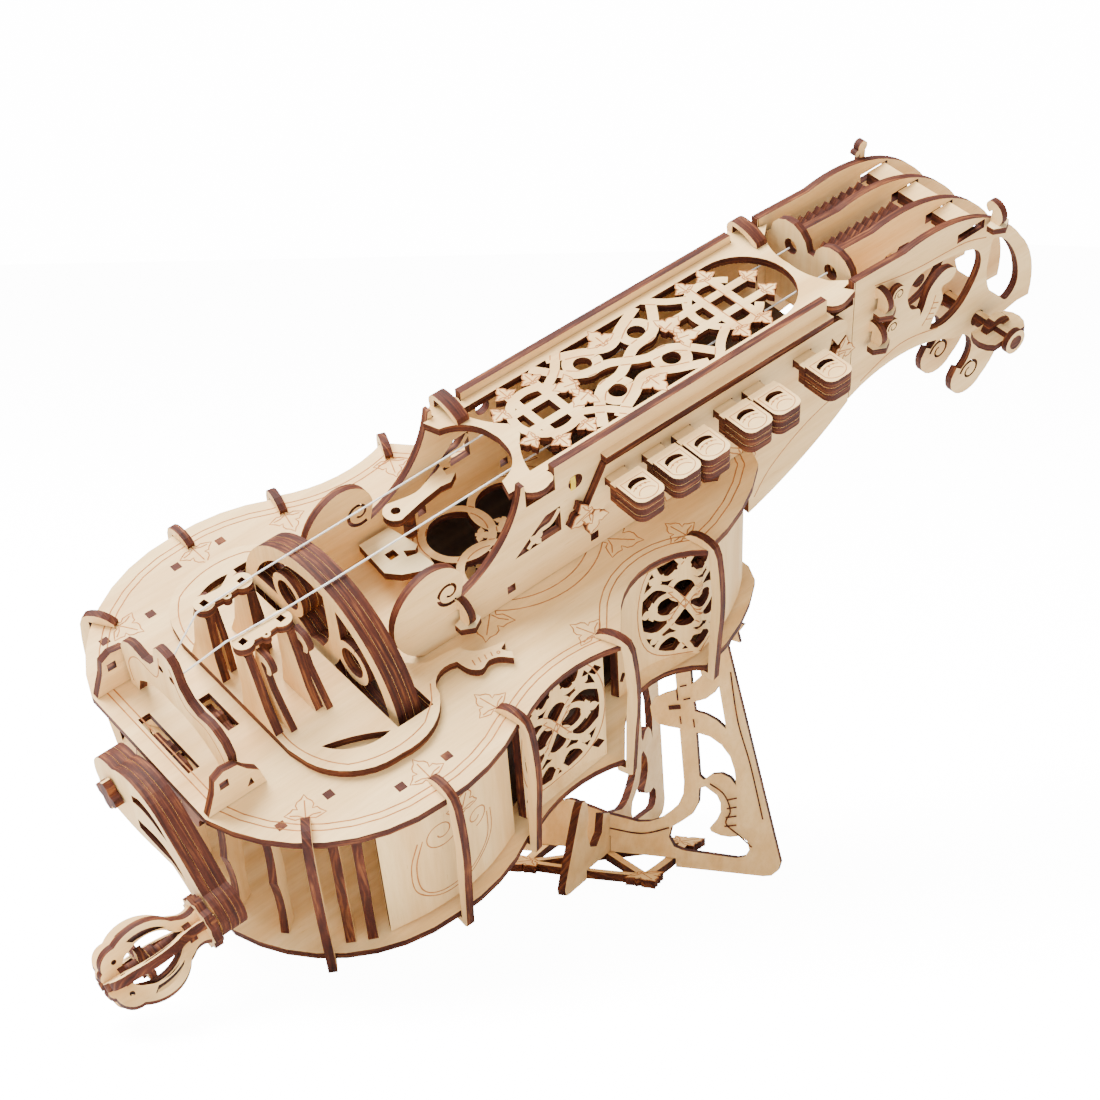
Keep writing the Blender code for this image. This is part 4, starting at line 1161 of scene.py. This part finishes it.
def bridge_parts():
    """Scroll-ended caps, and fins on the legs."""
    for side in ("left", "right"):
        low, high = ibox("bridge_cap_" + side)
        x, y, z = imiddle("bridge_cap_" + side)
        half = (high.x - low.x) / 2 - 0.3
        bar = band(smooth([(-half + 3.2, 0), (-half / 2, 0.4), (0, 0), (half / 2, 0.4), (half - 3.2, 0)]),
                   4.4)
        curls = [circle(s * (half - 3.3), 0, 3.5, 24) for s in (1, -1)] + [circle(0, -2.2, 1.5, 16)]
        eyes = [moved(rect(-1.2, -1.2, 1.2, 1.2), s * (half - 3.3), 0,
                      10) for s in (1, -1)] + [circle(0, -2.4, 0.5, 10)]
        obj = sheet("bridge_cap_%s_cut" % side, [bar, *curls], flat("XY", (x, y, z)), eyes)
        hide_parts("bridge_cap_" + side)
        sign = math.copysign(1, y)
        fin = joined([(2, -12)], arc((5, -12), (9.5, -15), (8.4, -19)), [(6.6, -19.6)],
                     arc((7, -17), (5.4, -15.4), (4, -16.4), 5),
                     [(7, -27), (11, -34), (15, -40.5), (-3, -40.5), (-1.6, -26)])
        for i, shift in enumerate((-3.4, 10.4)):
            sheet("bridge_fin_%s_%d" % (side, i), [moved([(sign * u, v) for u, v in fin], y, 0)],
                  crosswise(x + shift), thick=2.4, face=FACE["Z"])


def facing(x, y, turn):
    """Plane of an upright sheet at a point of the side, along a direction in degrees."""
    c, s = math.cos(math.radians(turn)), math.sin(math.radians(turn))
    return lambda u, v, w: (x + u * c - w * s, y + u * s + w * c, SIDE_MID + v)


def tail_parts():
    """Open tail: upright slats between the boards, two gears faced with burnt colour as painted shade, and
    lines on the string anchor.
    """
    run = sorted((p for p in inset(OUTLINE, 9.0) if p[0] < -104), key=lambda p: p[1])
    slat = joined([(-3, -SIDE_HALF)], arc((3.6, -SIDE_HALF), (2.2, -12), (4, 0)),
                  arc((4, 0), (2.4, 12), (4.4, SIDE_HALF)), [(-3, SIDE_HALF)],
                  arc((-3, 14), (-4.4, 0), (-3, -14)))
    for i in range(7):
        x, y = run[int(i * (len(run) - 1) / 6)]
        turn = math.degrees(math.atan2(y, x + 70))
        sheet("tail_slat_%d" % i, [slat], facing(x, y, turn), thick=2.8, face=FACE["Z"])
    # the gears' faces take the burnt-edge colour: painted shade for the dark inside of the tail
    for i, (x, r) in enumerate(((-106.0, 12.0), (-125.0, 15.0))):
        sheet("tail_gear_%d" % i, [gear_ring(r, 1.6, 10)], flat("YZ", (x, 0, DECK_LOW - r - 0.6)),
              [circle(0, 0, 5, 20)], thick=1.1, shifts=(-1.25, 0, 1.25), face=EDGES[0])
    curve = smooth([(3, -10), (8, -23), (20, -24), (27, -32), (27, -41)])
    runs = [[(sign * u, v) for u, v in curve] for sign in (1, -1)]
    engrave("anchor_lines", runs, crosswise(ibox("string_anchor")[0].x))


def string_lever():
    """Drone arm over the sound hole, on its post."""
    arm = joined(arc((-23, 9), (-26.5, 14), (-22, 18)), smooth([(-22, 18), (-12, 16), (-4, 18.4), (2, 20)]),
                 [(1, 15.6)], [(4, 14.6)], [(0, 12)], smooth([(-4, 12.6), (-12, 11.4), (-23, 9)]))
    sheet("drone_arm", [arm], level(-22), [circle(-22, 13.6, 1.7, 18)])
    sheet("drone_post", [circle(-17, 14, 2.2, 20)], level(-29.5), thick=11.5)


# ---------------------------------------------------------------- pegbox

def pegbox_parts():
    """Middle block, burnt scroll lines on the near cheek, and the knob on top of the far one."""
    low, high = ibox("pegbox_block_right")
    sheet("pegbox_block_middle", [rect(low.x, -6.6, high.x, 6.6)], level((low.z + high.z) / 2),
          thick=high.z - low.z)
    cheek = ibox("pegbox_cheek_right")
    face = upright(cheek[0].y)
    runs = [smooth([(160, -4), (180, -8), (205, -10), (218, -14)]),
            smooth([(156, -46), (176, -40), (196, -44)]),
            smooth([(187, -38), (191, -33), (193, -27)]),
            *[[(189 + k, -36 + 2 * k), (192 + k, -37.4 + 2 * k)] for k in range(4)]]
    engrave("cheek_lines", [resampled(r, 1.2, False) for r in runs], face)
    finial = [circle(206, 4.6, 2.3, 20), band([(206, -2), (206, 3)], 2.6), circle(203.4, 2.6, 1.3, 14)]
    sheet("far_finial", finial, upright(-cheek[0].y + 1.8), thick=2.8)


PEG_AT = (218, -52)                        # x and z of the pegs


def peg_outline(x0):
    """Cheek or arch: long top bar, peg boss, a curled foot and a sickle that closes the far end."""
    top = joined([(x0, 3)], arc((175, 2), (214, -3), (238, -24), 14),
                 arc((238, -24), (246, -39), (247, -57), 8),
                 [(240.5, -56.5)], [(232, -58)])
    foot = joined(arc((233, -60), (231, -76), (224, -84), 8), arc((224, -84), (211, -86), (207, -76), 10),
                  [(209.4, -72)], arc((212, -74), (216.5, -66), (206, -55), 10),
                  arc((204, -54), (180, -46), (x0 + 6, -48.5), 10), [(x0, -51)])
    return joined(top, foot)


PEG_MOUTH = [(184, -12), (200, -13), (213, -17), (216.5, -25), (213, -34), (207, -41), (199, -44),
             (191, -42), (186, -36), (185, -29), (180, -26), (178, -18)]


def peg_ends():
    """Small disc with a crossed slot on the outer end of each peg."""
    for side, sign in SIDES:
        low, high = ibox("tuning_peg_" + side)
        tip = high.y if sign > 0 else low.y
        cross = [moved(rect(-2.6, -0.7, 2.6, 0.7), *PEG_AT, turn) for turn in (45, 135)]
        sheet("peg_end_" + side, [circle(*PEG_AT, 5.0, 32)], upright(tip - sign * 1.4), cross,
              thick=2.4, body="peg_" + side, face=FACE["X"])


def pegbox_sheets():
    """Cheeks and arches with round mouths and curled feet, and a beast in the near cheek's mouth."""
    window = smooth([(222.5, -17), (230, -22), (237, -34), (239, -46), (234, -52), (228.5, -47), (223, -41),
                     (220.6, -32), (221, -23)], 5, True)
    for label, x0 in (("cheek_left", 150.3), ("arch_left", 158.0), ("arch_right", 158.0),
                      ("cheek_right", 150.3)):
        y = imiddle("pegbox_" + label)[1]
        holes = [smooth(PEG_MOUTH, 5, True), spiral_slit(217, -77.5, 5.2, 170, -1.2),
                 circle(*PEG_AT, 3.4, 20), rect(202, -8.5, 216, -4.5), window]
        beast = [smooth([(183, -38), (187, -30), (190, -22), (197, -17.6), (203, -20), (201, -24),
                         (196, -25), (197, -31),
                         (193, -38), (190, -43)], 5, True)] if label == "cheek_right" else []
        obj = sheet("pegbox_%s_cut" % label, [peg_outline(x0)], upright(y), holes, beast)
        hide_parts("pegbox_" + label)


def tuning_racks():
    """Zig-zag bars of three sheets in the far and the middle bay, level with the tops of the arches."""
    low, high = ibox("tuner_rack_left")
    x0, x1, pitch = low.x - 4, high.x + 1, 4.2
    steps = int((x1 - x0) / pitch)
    upper = [(x0 + pitch * (i + k / 2), 3.4 if k else 1.3) for i in range(steps) for k in (0, 1)]
    upper.append((x0 + pitch * steps, 1.3))
    outline = upper + [(x, -z) for x, z in reversed(upper)]
    for label, y in (("left", (low.y + high.y) / 2), ("middle", 0.0)):
        obj = sheet("zigzag_bar_" + label, [outline], flat("XZ", (0, y, low.z + 7.0)), thick=1.9,
                    shifts=(-2.0, 0, 2.0), face=EDGES[1])
        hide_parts("tuner_rack_left" if label == "left" else "tuner_rack_right")


# ---------------------------------------------------------------- stand

BASE_R, BASE_TURNS = 33, (45, 135, 225, 315)   # the four leaves of the base


def base_tip(turn, r=BASE_R):
    """Point at a radius along one of the base's arms: its end, unless told otherwise."""
    return r * math.cos(math.radians(turn)), r * math.sin(math.radians(turn))


def stand_base():
    """Lattice base with four leaf ends, and burnt lines on its leaves."""
    bands, lines = [], []
    for turn in BASE_TURNS:
        tip, other = base_tip(turn), base_tip(turn + 90)
        middle = ((tip[0] + other[0]) / 2 * 1.06, (tip[1] + other[1]) / 2 * 1.06)
        c, s = base_tip(turn, 5)
        bands += [band(arc(tip, middle, other), 3.4), band([(0, 0), tip], 3.4),
                  band([(tip[0] - s, tip[1] + c), (tip[0] + s, tip[1] - c)], 5.5),
                  fleur(tip[0] * 0.88, tip[1] * 0.88, turn, 12.4)]
        lines += [closed(fleur(*base_tip(turn, 29), turn, 12.4)),
                  *fleur_veins(*base_tip(turn, 29), turn, 12.4)]
    obj = sheet("stand_lattice", bands, level(PLY / 2), base=STAND)
    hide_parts("stand_base")
    engrave("stand_base_lines", lines, level(PLY), base=STAND)


def stand_lines():
    """Burnt outline of the strap that loops over itself on plate A, and its leaf."""
    face = upright(-PLY / 2)
    main = smooth([(31.5, 30), (33.4, 36), (32.2, 52), (30.4, 64), (29.3, 76), (30, 86), (35, 91),
                   (43, 91.4)])
    loop = smooth([(40, 90), (43.6, 83), (41.6, 75), (35.5, 68.8), (26, 65.4), (21, 62), (20.6, 57.6),
                   (25, 55.6), (33, 56), (41, 52.6), (48, 45.6), (52, 37), (55.5, 27)])
    upper, middle, lower = (band(run, 5.0) for run in (loop[:30], main, loop[28:]))
    runs = crossings([lower, middle]) + crossings([middle, upper])
    runs += [smooth([(-22, 9), (-12, 13), (0, 12.4), (14, 11.6), (25, 15)]),
             smooth([(48, 76), (51, 58), (56, 42), (61, 22)]),
             smooth([(40.6, 33.4), (46, 30), (48.6, 24), (47, 19), (52, 15), (57, 11)]),
             *[[(47.6 - 0.4 * k, 28 - 3.4 * k), (51, 29 - 3.4 * k)] for k in range(4)]]
    engrave("stand_slit", [[(24.4, 60.6), (29, 61.4)]], face, width=1.6, base=STAND,
            mat=EDGE)
    engrave("stand_lines", runs, face, width=0.55, base=STAND, mat=EDGE)


# ---------------------------------------------------------------- whole scene

camera()
stage()
dress_cad()
grilles()
lower_bouts()
soundboard_lines()
rosette()
gear_post()
inside_sheets()
surround_sheet()
surround_lines()
lid_fret()
keybox_walls()
rail_fret()
keys()
clamps()
rubber_bands()
wheel_sheets()
crank()
grip()
bridge_parts()
tail_parts()
string_lever()
pegbox_parts()
peg_ends()
pegbox_sheets()
tuning_racks()
stand_base()
stand_lines()
